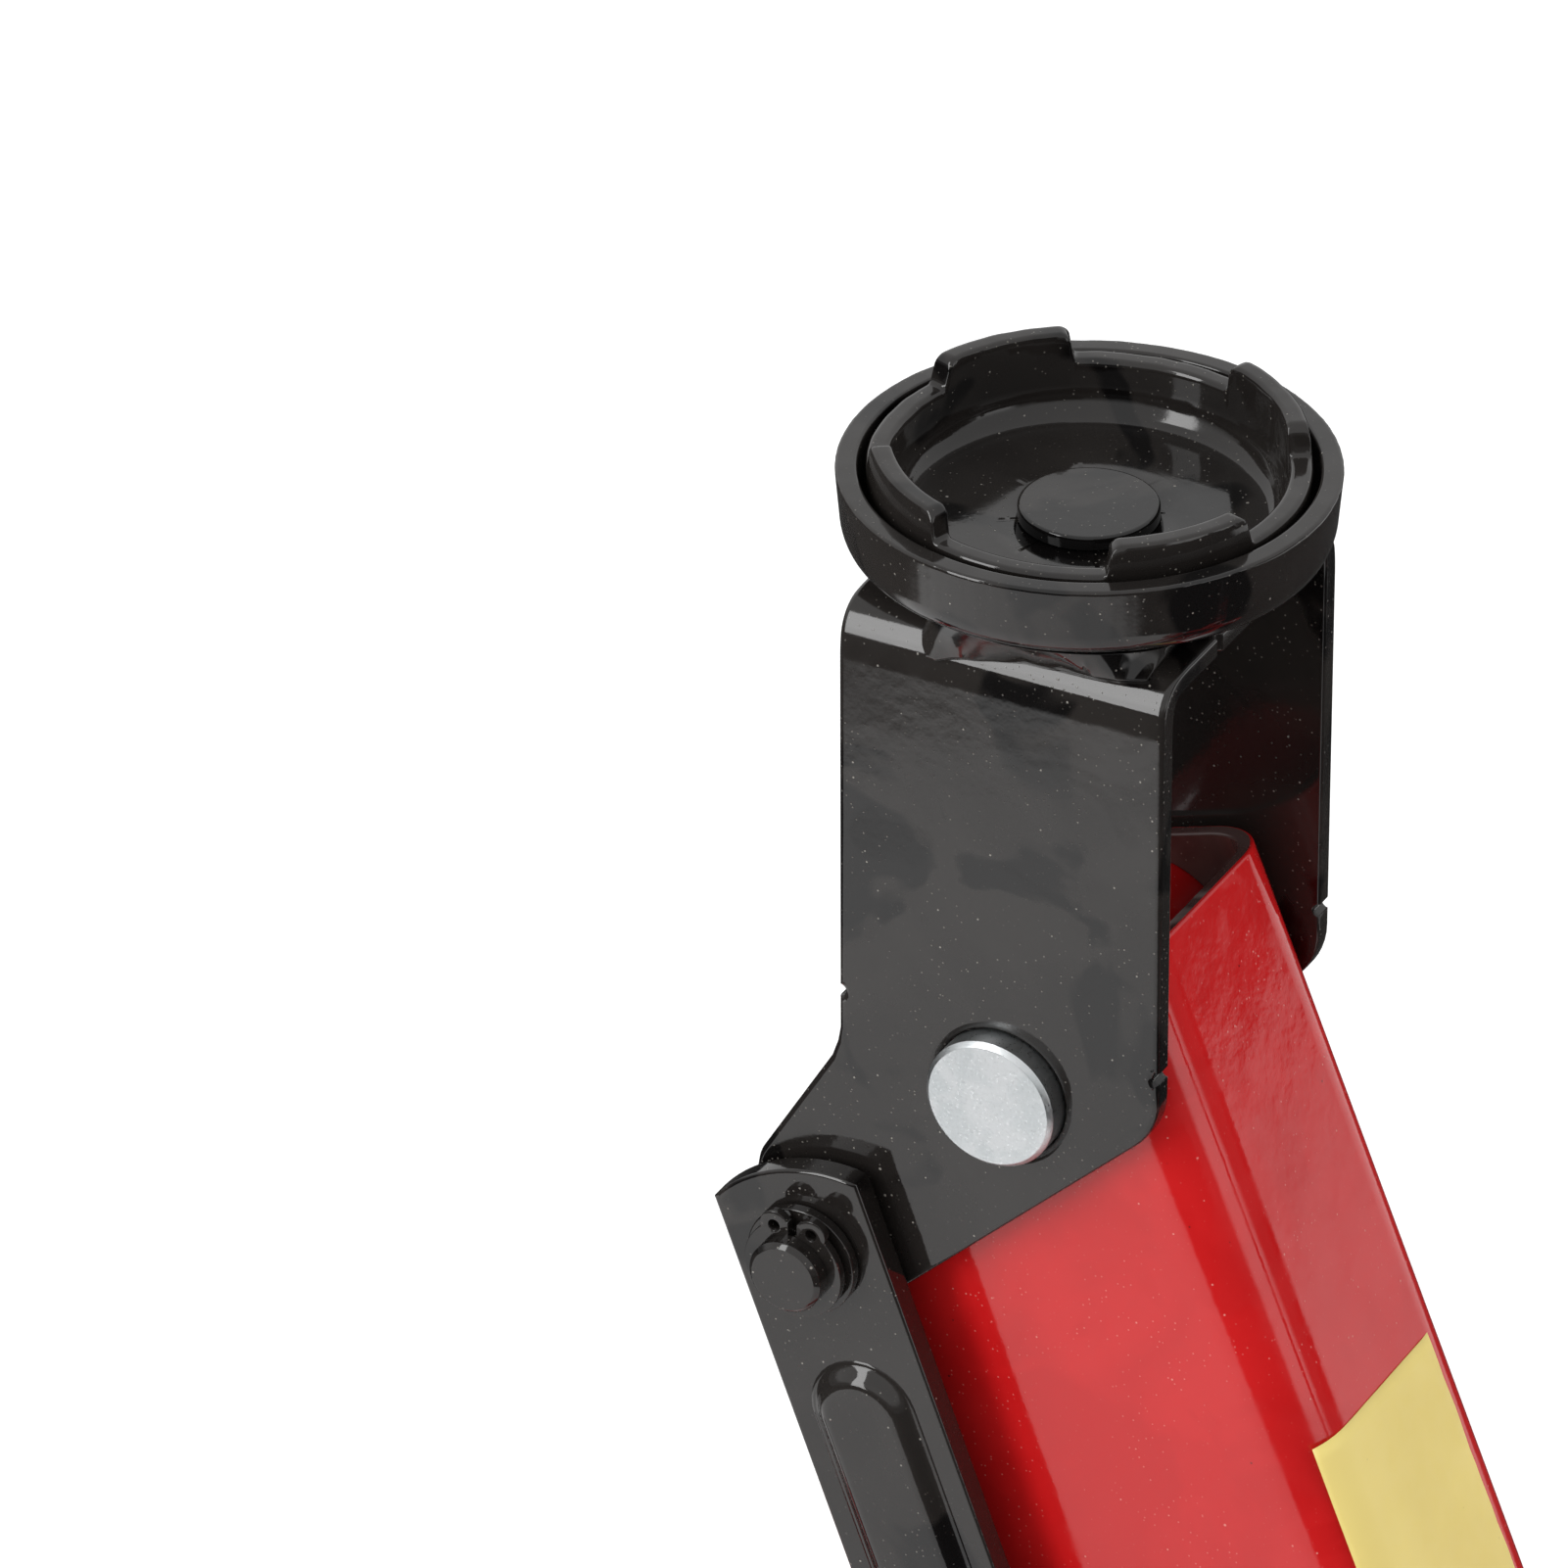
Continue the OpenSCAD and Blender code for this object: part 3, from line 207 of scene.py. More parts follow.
# The colours of gloss_paint are its base, deeper tone, wiped patches, light dust and dark dust.
FINISH = {
    "black_paint": gloss_paint("black_paint", (0.0145, 0.0125, 0.0115), (0.020, 0.0175, 0.016),
                               (0.004, 0.0035, 0.0035), (0.24, 0.225, 0.20), (0.004, 0.004, 0.004), 0.07),
    "red_paint": gloss_paint("red_paint", (0.56, 0.012, 0.013), (0.50, 0.009, 0.010), (0.53, 0.010, 0.011),
                             (0.75, 0.30, 0.26), (0.16, 0.01, 0.01), 0.08, 0.7),
    # The arm's inner faces get colours far darker than red_paint: painted shade for the dim inside of the
    # channel.
    "arm_inside_painted_shade": gloss_paint("arm_inside_painted_shade", (0.050, 0.012, 0.011), (0.105, 0.055, 0.050),
                              (0.22, 0.17, 0.16), (0.35, 0.25, 0.22), (0.01, 0.004, 0.004), 0.16, 0.7),
    "handle_paint": gloss_paint("handle_paint", (0.016, 0.016, 0.017), (0.010, 0.010, 0.011),
                                (0.006, 0.006, 0.006), (0.2, 0.2, 0.19), (0.004, 0.004, 0.004), 0.24, 0.6),
    "zinc": plated("zinc", (0.64, 0.66, 0.67), (0.57, 0.60, 0.61), 0.34, (2600, 5200, 2600)),
    "bright_steel": plated("bright_steel", (0.50, 0.50, 0.51), (0.42, 0.42, 0.44), 0.28),
    "chrome_rod": plated("chrome_rod", (0.78, 0.78, 0.80), (0.72, 0.72, 0.75), 0.14),
    "dark_steel": plated("dark_steel", (0.16, 0.16, 0.17), (0.10, 0.10, 0.105), 0.36),
    "iron": coarse("iron", (0.075, 0.077, 0.08), (0.045, 0.046, 0.048), 0.45, 900, 0.12),
    "roller_paint": coarse("roller_paint", (0.022, 0.022, 0.023), (0.012, 0.012, 0.012),
                           0.34, 700, 0.06),
    "black_plastic": coarse("black_plastic", (0.030, 0.030, 0.031), (0.020, 0.020, 0.021),
                            0.42, 1500, 0.03),
    "rubber": coarse("rubber", (0.020, 0.020, 0.020), (0.012, 0.012, 0.012), 0.62, 1100, 0.08),
}
SLOT = {s["node"]: s["material_slot"] for s in frame["record"]["subparts"]}


# ---- CAD nodes: finish, welded seams and softened edges ----

WELD = 0.002
BEVEL_FROM = math.radians(38)
SOFT_EDGE_USUAL = 0.2
SOFT_EDGE = {"lift_arm": 0.5, "side_plate_left": 0.4, "side_plate_right": 0.4, "pump_block": 0.9,
             "handle_grip": 0.3, "head_pin": 0.3}


def even_normals(obj):
    """Lets the large faces set the shading, so that flats next to rounded edges look flat."""
    even = obj.modifiers.new("Even", "WEIGHTED_NORMAL")
    even.weight = 90
    even.keep_sharp = True


for name, obj in frame["nodes"].items():
    obj.data.materials.clear()
    obj.data.materials.append(FINISH[SLOT[name]])
    weld = obj.modifiers.new("Weld", "WELD")
    weld.merge_threshold = WELD * MM
    bevel = obj.modifiers.new("Bevel", "BEVEL")
    bevel.width = SOFT_EDGE.get(name, SOFT_EDGE_USUAL) * MM
    bevel.segments = 3
    bevel.limit_method = "ANGLE"
    bevel.angle_limit = BEVEL_FROM
    even_normals(obj)
    for face in obj.data.polygons:
        face.use_smooth = True


# ---- Mesh helpers ----

def add_object(name, mesh):
    obj = bpy.data.objects.new(name, mesh)
    bpy.context.scene.collection.objects.link(obj)
    for face in mesh.polygons:
        face.use_smooth = True
    return obj


def turn_out(mesh):
    """Makes every face of a closed mesh look outwards."""
    bm = bmesh.new()
    bm.from_mesh(mesh)
    bmesh.ops.recalc_face_normals(bm, faces=bm.faces[:])
    bm.to_mesh(mesh)
    bm.free()


def stand_for(name, mesh, finishes, body, node):
    """Shows the mesh in place of a CAD node, on its body."""
    for finish in finishes:
        mesh.materials.append(FINISH[finish])
    obj = add_object(name, mesh)
    even_normals(obj)
    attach(obj, body)
    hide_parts(node)


def rounded(points, radii, steps=5):
    """The polyline with each inner corner rounded by its radius."""
    most, least = 0.48, 0.01
    out = [points[0]]
    for a, b, c, r in zip(points, points[1:], points[2:], radii):
        va, vb, vc = Vector(a), Vector(b), Vector(c)
        u, w = (va - vb), (vc - vb)
        cut = min(r, u.length * most, w.length * most)
        if cut < least:
            out.append(b)
            continue
        p, q = vb + u.normalized() * cut, vb + w.normalized() * cut
        for i in range(steps + 1):
            t = i / steps
            out.append(tuple(p * (1 - t) ** 2 + vb * 2 * t * (1 - t) + q * t ** 2))
    out.append(points[-1])
    return out


def rings(name, loops, closed, body, slot, node, caps=False):
    """Skins a list of equal loops, one after another."""
    n, verts, faces = len(loops[0]), [v for loop in loops for v in loop], []
    last = len(loops) if closed else len(loops) - 1
    for j in range(last):
        a, b = j * n, (j + 1) % len(loops) * n
        for i in range(n):
            k = (i + 1) % n
            faces.append((a + i, a + k, b + k, b + i))
    if caps:
        faces += [tuple(range(n))[::-1], tuple(range((len(loops) - 1) * n, len(loops) * n))]
    mesh = bpy.data.meshes.new(name)
    mesh.from_pydata([Vector(v) * MM for v in verts], [], faces)
    mesh.validate()
    turn_out(mesh)
    stand_for(name, mesh, [slot], body, node)


def jitter(x, y, z, scale):
    return noise.noise(Vector((x, y, z)) * scale)


# ---- Saddle: dish, cup with teeth, rivet ----

def lathe_loops(profile, angles, warp=None):
    """One closed loop of the profile for each angle about the saddle's axis."""
    loops = []
    for a in angles:
        ca, sa = math.cos(a), math.sin(a)
        loop = []
        for r, z in profile:
            if warp:
                r, z = warp(a, r, z)
            loop.append((SADDLE_X + r * ca, r * sa, DISH_Z + z))
        loops.append(loop)
    return loops


DISH_WALL = 2.8
DISH_FLOOR = 3.6
DISH_FOOT = DISH_R - 9.5
FLARE_RUN, FLARE_RISE = 8.1, 5.0
RIVET_HOLE = 6.02
DISH_IN = DISH_R - DISH_WALL
dish_line = rounded(
    [(RIVET_HOLE, 0.02), (DISH_FOOT, 0.02), (DISH_FOOT + FLARE_RUN, FLARE_RISE), (DISH_R - 0.7, 6.6),
     (DISH_R, DISH_H), (DISH_IN, DISH_H), (DISH_IN - 0.6, DISH_H - 5.8), (DISH_IN - 6.3, DISH_FLOOR),
     (RIVET_HOLE, DISH_FLOOR)],
    [3.0, 1.6, 1.2, 0.55, 0.5, 2.5, 1.5])


def dish_warp(a, r, z):
    """A slightly uneven rim."""
    bump = jitter(math.cos(a) * 9, math.sin(a) * 9, z * 0.3, 1.0)
    fine = jitter(math.cos(a) * 30, math.sin(a) * 30, z, 1.0)
    if z > DISH_H - 1.2 and r > DISH_R - 1.2:
        return r - 0.05 + 0.05 * fine, z - 0.04 + 0.05 * bump
    return r, z


FULL_TURN = [math.radians(i * 0.75) for i in range(480)]
rings("saddle_dish_skin", lathe_loops(dish_line, FULL_TURN, dish_warp), True,
      "head", "black_paint", "saddle_dish")

CUP_R = box_mm("saddle_cup")[1].x - SADDLE_X
CUP_T = 3.0
CUP_FLOOR = DISH_FLOOR + 0.1
CUP_RIM = DISH_H + 0.3
# The cup's rim leans up a little on one side.
CUP_TILT = 0.45
CUP_TILT_AT = math.radians(322.5)
TOOTH_RISE = TOOTH_TOP - CUP_RIM - CUP_TILT
TEETH = 4
TOOTH_AT = 52.5
TOOTH_SPAN = 40.0
TOOTH_PITCH = 360 / TEETH
# Sizes along a tooth's flank: its rounded shoulder, the flank, and its foot's fillet and rise
SHOULDER, FLANK, FOOT, FOOT_RISE = 1.5, 0.4, 0.7, 0.45
CUP_IN = CUP_R - CUP_T
CUP_HOLE = 6.06
cup_line = rounded(
    [(CUP_HOLE, CUP_FLOOR), (CUP_R - 6.0, CUP_FLOOR), (CUP_R - 0.5, CUP_FLOOR + 4.5),
     (CUP_R - 0.06, CUP_RIM), (CUP_IN, CUP_RIM), (CUP_IN, CUP_FLOOR + 6.0), (CUP_IN - 1.6, CUP_FLOOR + 3.3),
     (CUP_IN - 8.0, CUP_FLOOR + CUP_T), (CUP_HOLE, CUP_FLOOR + CUP_T)],
    [2.0, 1.5, 0.9, 0.9, 1.6, 1.5, 4.0])


def tooth_height(a):
    """Rise of the cup's lip at the angle a: rounded shoulders, steep flanks, small foot fillets."""
    off = (math.degrees(a) - TOOTH_AT + TOOTH_PITCH / 2) % TOOTH_PITCH - TOOTH_PITCH / 2
    s = (abs(off) - TOOTH_SPAN / 2) * math.pi / 180 * (CUP_R - CUP_T / 2)
    if s <= -SHOULDER:
        return TOOTH_RISE
    if s <= 0:
        return TOOTH_RISE - SHOULDER + math.sqrt(max(0.0, SHOULDER ** 2 - (s + SHOULDER) ** 2))
    if s <= FLANK:
        return (TOOTH_RISE - SHOULDER) * (1 - s / FLANK) + FOOT_RISE * (s / FLANK)
    if s <= FLANK + FOOT:
        return FOOT_RISE * (1 - (s - FLANK) / FOOT) ** 2
    return 0.0


def cup_warp(a, r, z):
    """Raises the teeth, leans them inwards, and gives the lip its lumps and tilt."""
    lift = min(1.0, max(0.0, z - (CUP_RIM - 1.4)))
    rise = tooth_height(a)
    lump = 0.12 * jitter(math.cos(a) * 11, math.sin(a) * 11, z * 0.4, 1.0) if z > CUP_RIM - 3 else 0
    lean = -0.35 * rise / TOOTH_RISE * lift
    tilt = CUP_TILT * math.cos(a - CUP_TILT_AT) * min(1.0, max(0.0, (z - CUP_FLOOR - 6) / 5))
    return r + lean + lump * 0.5, z + rise * lift + lump * 0.4 * lift + tilt


def tooth_angles():
    """Every 1.5 degrees, and much closer at the flanks of the teeth."""
    flank = (-1.5, -1.3, -1.1, -0.9, -0.7, -0.5, -0.32, -0.18, -0.07, 0, 0.1, 0.2, 0.3, 0.4, 0.55, 0.7,
             0.9, 1.1)
    least_gap = 0.12
    marks, per_mm = set(), math.degrees(1 / (CUP_R - CUP_T / 2))
    for i in range(240):
        marks.add(round(i * 1.5, 3))
    for t in range(TEETH):
        for side in (-1, 1):
            for s in flank:
                mark = TOOTH_AT + t * TOOTH_PITCH + side * (TOOTH_SPAN / 2 + s * per_mm)
                marks.add(round(mark % 360, 3))
    kept = []
    for m in sorted(marks):
        if not kept or m - kept[-1] > least_gap:
            kept.append(m)
    return [math.radians(m) for m in kept]


rings("saddle_cup_skin", lathe_loops(cup_line, tooth_angles(), cup_warp), True,
      "saddle", "black_paint", "saddle_cup")

RIVET_R = 8.75
RIVET_SHANK = 6.0
RIVET_HEAD = 1.8
rivet_z = CUP_FLOOR + CUP_T + 0.1
rivet_line = rounded(
    [(0.01, -5.0), (7.5, -5.0), (8.0, -3.0), (RIVET_SHANK, -3.0), (RIVET_SHANK, rivet_z), (RIVET_R, rivet_z),
     (RIVET_R, rivet_z + RIVET_HEAD), (0.01, rivet_z + RIVET_HEAD)],
    [0.6, 0.2, 0.1, 0.1, 0.15, 0.5])
rings("saddle_rivet_skin", lathe_loops(rivet_line, FULL_TURN[::5]), True,
      "head", "black_paint", "saddle_rivet")


# ---- Weld collars between the dish's underside and the bracket's folds ----

FOLD_R = 5.0
FOLD_SOFT = 3.2
FOLD_LEAN = math.radians(8)
# Distance along the fold, and how far down the fold the collar reaches, in degrees from its side
COLLAR = [(11.4, 50), (10.8, 30), (10.0, 16), (8.8, 15), (7.0, 21), (5.0, 26), (1.5, 33), (-2.0, 41),
          (-7.0, 47), (-12.0, 50), (-15.0, 54), (-18.5, 66)]
# Lumps where the weld's run stopped: distance along the fold, share down the collar, size
LUMPS = [(-11.5, 0.5, 0.45), (-15.6, 0.6, 0.45)]


def bend_line(radius, soft, lean, steps):
    """The bend's run, inset, rise and angle from the side face to the back, easing in over a soft length."""
    ease = [(soft, lean, max(1, steps // 3))] if soft else []
    parts = ease + [(radius * (math.pi / 2 - 2 * lean), math.pi / 2 - 2 * lean, steps)] + ease
    run = out = rise = angle = 0.0
    line = [(run, out, rise, angle)]
    for length, swing, count in parts:
        for k in range(count):
            mid = angle + swing / count / 2
            chord = length / count
            run, out, rise = run + chord, out + chord * math.sin(mid), rise + chord * math.cos(mid)
            angle += swing / count
            line.append((run, out, rise, angle))
    return line


FOLD = bend_line(FOLD_R, FOLD_SOFT, FOLD_LEAN, 16)


def at_angle(line, angle):
    """Inset from the side and depth below the back where the bend has this angle."""
    for (_, out0, rise0, a0), (_, out1, rise1, a1) in zip(line, line[1:]):
        if angle <= a1:
            t = (angle - a0) / (a1 - a0)
            return out0 + (out1 - out0) * t, line[-1][2] - rise0 - (rise1 - rise0) * t
    return line[-1][1], 0.0


def along_table(table, x):
    for (x0, a0), (x1, a1) in zip(table, table[1:]):
        if x1 <= x <= x0:
            return a0 + (a1 - a0) * (x0 - x) / (x0 - x1)
    return table[0][1] if x > table[0][0] else table[-1][1]


def collar(side):
    """Loops across the weld: its face from the dish to the fold, then points hidden in the metal."""
    first, last, steps = COLLAR[0][0], COLLAR[-1][0], 150
    skin, hidden_y, across_steps = 0.06, 16.0, 18
    loops = []
    for j in range(steps + 1):
        x = first + (last - first) * j / steps
        end = math.sqrt(max(0.0, 1 - abs(2 * j / steps - 1) ** 5))
        down = math.radians(along_table(COLLAR, x) + 1.6 * jitter(x, side * 3, 1, 0.35))
        inset_y, depth = at_angle(FOLD, down)
        foot = Vector((HEAD_Y - inset_y + skin, -depth + skin))
        rise = 0.3 + 2.5 * end
        reach = DISH_FOOT + FLARE_RUN * rise / FLARE_RISE + 0.2
        lip = Vector((math.sqrt(max(1.0, reach ** 2 - x * x)), rise))
        middle = (foot + lip) / 2 + Vector((0.25, -0.15))
        across = (lip - foot).normalized()
        outward = Vector((across.y, -across.x))
        line = []
        for i in range(across_steps + 1):
            t = i / across_steps
            q = lip * (1 - t) ** 2 + middle * 2 * t * (1 - t) + foot * t ** 2
            lump = sum(0.42 * size * math.exp(-((x - at) / (0.8 * size)) ** 2 - ((t - part) / 0.22) ** 2)
                       for at, part, size in LUMPS)
            line.append(q + outward * lump)
        inner = min(hidden_y, lip.x - 3)
        line += [Vector((foot.x - 1.6, foot.y - 1.2)), Vector((inner, -0.5)), Vector((inner, 0.6))]
        loops.append([(SADDLE_X + x, side * q.x, DISH_Z + q.y) for q in line])
    return loops


rings("dish_weld_left", collar(1), False, "head", "black_paint", "dish_weld", caps=True)
rings("dish_weld_right", collar(-1), False, "head", "black_paint", "dish_weld", caps=True)


# ---- Sheet parts: outlines with rounded edges, laid flat or folded into a channel ----

def belt(circles):
    """Outline of a belt round circles (x, y, r), counter-clockwise; r = 0 is a corner."""
    step = 6.0

    def turn(a, b):
        apart = math.hypot(b[0] - a[0], b[1] - a[1])
        return math.atan2(b[1] - a[1], b[0] - a[0]) - math.acos((a[2] - b[2]) / apart)

    out = []
    for before, c, after in zip(circles[-1:] + circles[:-1], circles, circles[1:] + circles[:1]):
        if c[2] == 0:
            out.append((c[0], c[1]))
            continue
        start = turn(before, c)
        sweep = (turn(c, after) - start) % (2 * math.pi)
        count = max(2, int(math.degrees(sweep) / step))
        for k in range(count + 1):
            angle = start + sweep * k / count
            out.append((c[0] + c[2] * math.cos(angle), c[1] + c[2] * math.sin(angle)))
    return out


def round_hole(x, y, r):
    turns = [2 * math.pi * k / 64 for k in range(64)]
    return [(x + r * math.cos(a), y - r * math.sin(a)) for a in turns]


def inset(loop, d):
    """The loop moved to the left of its travel, into the sheet."""
    out = []
    for a, b, c in zip(loop[-1:] + loop[:-1], loop, loop[1:] + loop[:1]):
        m = Vector((a[1] - b[1], b[0] - a[0])).normalized()
        n = Vector((b[1] - c[1], c[0] - b[0])).normalized()
        mean = (m + n).normalized()
        k = d / max(0.5, mean.dot(m))
        out.append((b[0] + mean.x * k, b[1] + mean.y * k))
    return out


def inside_loops(x, y, loops):
    odd = False
    for loop in loops:
        for (x0, y0), (x1, y1) in zip(loop, loop[1:] + loop[:1]):
            if (y0 > y) != (y1 > y) and x < x0 + (x1 - x0) * (y - y0) / (y1 - y0):
                odd = not odd
    return odd


def edge_round(wide, deep):
    """An edge's inset and depth, from the face to the rim."""
    return [(wide * (1 - math.sin(a)), deep * (1 - math.cos(a))) for a in [math.pi / 8 * k for k in range(5)]]


def sheet(name, loops, place, thick, chords, body, slot, node, edge, lips=None, inner=None):
    """A solid sheet: place(u, v, depth) puts a point of the flat outline, depth 0 being its outer face.

    chords are links across the outline that keep bends straight, lips gives single loops an edge of
    their own, and inner is the finish of the inner face.
    """
    bm = bmesh.new()
    back_edge = min(edge, 0.4)
    back = [(i, thick - w) for i, w in reversed(edge_round(back_edge, back_edge))]
    front_caps, back_caps = [], []
    for index, loop in enumerate(loops):
        front = (lips or {}).get(index, edge_round(edge, edge * 0.8))
        profile = front + back
        rows = [inset(loop, i) for i, _ in profile]
        front_caps.append(rows[0])
        back_caps.append(rows[-1])
        verts = [[bm.verts.new(place(u, v, w) * MM) for u, v in row] for row, (_, w) in zip(rows, profile)]
        for row, (one, two) in enumerate(zip(verts, verts[1:])):
            for k in range(len(loop)):
                n = (k + 1) % len(loop)
                face = bm.faces.new((one[k], one[n], two[n], two[k]))
                face.material_index = 1 if inner and row >= len(front) - 1 else 0
    for caps, w in ((front_caps, 0.0), (back_caps, thick)):
        points, links = [], list(chords)
        for loop in caps:
            start, count = len(points), len(loop)
            links += [(start + k, start + (k + 1) % count) for k in range(count)]
            points += [Vector(q) for q in loop]
        flat, _, faces, *_ = geometry.delaunay_2d_cdt(points, links, [], 1, 1e-6)
        verts = [bm.verts.new(place(q.x, q.y, w) * MM) for q in flat]
        for face in faces:
            mid = sum((flat[k] for k in face), Vector((0, 0))) / len(face)
            if inside_loops(mid.x, mid.y, caps):
                made = bm.faces.new([verts[k] for k in face])
                made.material_index = 1 if inner and w else 0
    bmesh.ops.remove_doubles(bm, verts=bm.verts[:], dist=1e-6)
    loose = [v for v in bm.verts if not v.link_faces]
    bmesh.ops.delete(bm, geom=loose, context="VERTS")
    bmesh.ops.recalc_face_normals(bm, faces=bm.faces[:])
    mesh = bpy.data.meshes.new(name)
    bm.to_mesh(mesh)
    bm.free()
    stand_for(name, mesh, [slot, inner] if inner else [slot], body, node)


def channel(origin, along, up, width, top, line):
    """place() for a folded channel: v runs up the left side, across the back and down the right side."""
    base, bend = top - line[-1][2], line[-1][0]
    half = base + bend + width - line[-1][1]

    def place(u, v, w):
        side, run = (1, v) if v <= half else (-1, 2 * half - v)
        if run <= base:
            y, t = width - w, run
        elif run < base + bend:
            k = max(k for k in range(len(line) - 1) if line[k][0] <= run - base)
            share = (run - base - line[k][0]) / (line[k + 1][0] - line[k][0])
            out, rise, angle = (line[k][i] + (line[k + 1][i] - line[k][i]) * share for i in (1, 2, 3))
            y, t = width - out - w * math.cos(angle), base + rise - w * math.sin(angle)
        else:
            y, t = width - line[-1][1] - (run - base - bend), top - w
        return origin + along * u + up * t + Vector((0, side * y, 0))

    return place, 2 * half


def unfolded(side, width, top, line, nick):
    """The channel's flat outline from its side view, and the chords that keep its bends round."""
    base = top - line[-1][2]

    def ends(t):
        """Where the side view starts and ends at the height t."""
        edges = zip(side, side[1:] + side[:1])
        us = [u0 + (u1 - u0) * (t - t0) / (t1 - t0) for (u0, t0), (u1, t1) in edges
              if t0 != t1 and (t0 - t) * (t1 - t) <= 0]
        return min(us), max(us)

    count = len(side)
    begin = next(k for k in range(count) if side[k][1] > base >= side[(k + 1) % count][1])
    lower = [(ends(base)[0], base)]
    lower += [q for q in (side[(begin + 1 + k) % count] for k in range(count)) if q[1] < base - 0.01]
    lower.append((ends(base)[1], base))
    total = 2 * (base + line[-1][0] + width - line[-1][1])
    level = [(ends(base + rise), base + run) for run, _, rise, _ in line[1:]]
    n, m = len(lower), len(level)
    loop = lower + [(e[1], v) for e, v in level] + [(e[1], total - v) for e, v in reversed(level)]
    loop += [(u, total - t) for u, t in reversed(lower)]
    loop += [(e[0], total - v) for e, v in level]
    loop += nick
    loop += [(e[0], v) for e, v in reversed(level)]
    front, rear = n - 1, len(loop)
    chords = [(0, n - 1), (n + 2 * m, 2 * n + 2 * m - 1)]
    chords += [(front + k, rear - k) for k in range(1, m + 1)]
    chords += [(n + 2 * m - k, 2 * n + 2 * m - 1 + k) for k in range(1, m + 1)]
    return loop, chords


def notch(u, v, r, into):
    """Half-round nick in an edge at u; into is 1 or -1 where the sheet lies towards +u or -u."""
    turns = [math.pi / 2 - math.pi * k / 8 for k in range(9)]
    return [(u + into * r * math.cos(a), v + into * r * math.sin(a)) for a in turns]


# ---- Head bracket ----

HEAD_T = 3.0
HEAD_REAR = HEAD.x - box_mm("head_bracket")[0].x
HEAD_TOP = box_mm("head_bracket")[1].z - HEAD.z
FRONT = 22.4
NICK = 8.4
NICK_R = 0.8
TOP_NICK = 8.5
TAB = Vector((24.4, -28.5))
TAB_R = 10.8
TAB_HOLE = 5.02
PIN_HOLE = box_mm("head_pin")[1].z - HEAD.z + 0.05
PLAIN_PIN_HOLE = PIN_HOLE - 1


def bracket():
    above = HEAD_TOP + 3
    side = belt([(TAB.x, TAB.y, TAB_R), (TAB.x + 4.6, TAB.y + 8, 5), (FRONT + 1.2, -1.6, 0),
                 (FRONT + 0.35, 0.9, 0), (FRONT, 3.0, 0),
                 *[(u, v, 0) for u, v in notch(FRONT, NICK, NICK_R, -1)],
                 (FRONT, above, 0), (-HEAD_REAR, above, 0),
                 *[(u, v, 0) for u, v in notch(-HEAD_REAR, NICK, NICK_R, 1)], (10 - HEAD_REAR, 5, 10)])
    place, total = channel(HEAD, Vector((1, 0, 0)), Vector((0, 0, 1)), HEAD_Y, HEAD_TOP, FOLD)
    top_nick = notch(-HEAD_REAR, total / 2 - TOP_NICK, NICK_R, 1)
    outline, chords = unfolded(side, HEAD_Y, HEAD_TOP, FOLD, top_nick)
    holes = [round_hole(0, 0, PIN_HOLE), round_hole(TAB.x, TAB.y, TAB_HOLE),
             round_hole(0, total, PLAIN_PIN_HOLE), round_hole(TAB.x, total - TAB.y, TAB_HOLE)]
    sheet("head_bracket_skin", [outline, *holes], place, HEAD_T, chords, "head", "black_paint",
          "head_bracket", 0.8, {1: edge_round(1.2, 0.9)})


bracket()


# ---- Lifting arm ----

ARM_ROOT_R = 17.0
NOSE = 14.3
BOSS_HOLE = 13.02
HEAD_HOLE = 12.02
CRANK_HOLE = 6.02
WEB_GAP = 0.03


def arm():
    line = bend_line(ARM_CORNER, 0, 0, 18)
    place, total = channel(HEAD, BACK_ALONG, BACK_UP, ARM_Y, ARM_BACK, line)

    def turned(x, z, r=0.0):
        """A circle of the untapered arm, x along it from the pivot, in the back plane's own frame."""
        x -= ARM_LENGTH
        return (x * math.cos(TAPER) - z * math.sin(TAPER), x * math.sin(TAPER) + z * math.cos(TAPER), r)

    above = ARM_BACK + 8
    root, crank = turned(0, 0, ARM_ROOT_R), turned(*CRANK, 11.0)
    side = belt([root, turned(ARM_LENGTH - 36, -19, 13.5), turned(ARM_LENGTH, 0, 14),
                 turned(ARM_LENGTH + NOSE, 4), turned(ARM_LENGTH + NOSE - 1.5, above), turned(-12, above)])
    outline, chords = unfolded(side, ARM_Y, ARM_BACK, line, [])
    pivot, pin = turned(0, 0), turned(ARM_LENGTH, 0)
    holes = [round_hole(q[0], v, r)
             for q, r in ((pivot, BOSS_HOLE), (pin, HEAD_HOLE)) for v in (q[1], total - q[1])]
    # The inner faces take the dark inner material, which paints the shade inside the channel.
    sheet("lift_arm_skin", [outline, *holes], place, ARM_T, chords, "arm", "red_paint", "lift_arm", 0.5,
          inner="arm_inside_painted_shade")
    web = belt([crank, turned(44, -8, 9), (root[0], root[1], ARM_ROOT_R - 0.5)])
    loops = [web, round_hole(crank[0], crank[1], CRANK_HOLE), round_hole(pivot[0], pivot[1], BOSS_HOLE)]
    for name, turn in (("left", lambda v: v), ("right", lambda v: total - v)):
        sheet("lift_arm_web_" + name, loops, lambda u, v, w: place(u, turn(v), w + WEB_GAP),
              ARM_T - 2 * WEB_GAP, [], "arm", "red_paint", "lift_arm", 0.4)


arm()


# ---- Levelling links with a pressed rib ----

LINK_T = 3.5
LINK_W = 21.6
LINK_END_R = 21.0
LINK_REACH = 12.0
FRONT_HOLE = 5.25
REAR_HOLE = 5.05
RIB_HALF = ARM_LENGTH / 2 - 16.2 - 6.7
# The rib's half width and height, from its foot to its crown
RIB = [(7.7, -0.25), (7.6, 0.02), (7.2, 0.05), (6.8, 0.18), (6.4, 0.5), (6.0, 0.95), (5.6, 1.35),
       (5.2, 1.62), (4.7, 1.76), (4.2, 1.8), (2.6, 1.82), (0.3, 1.83)]


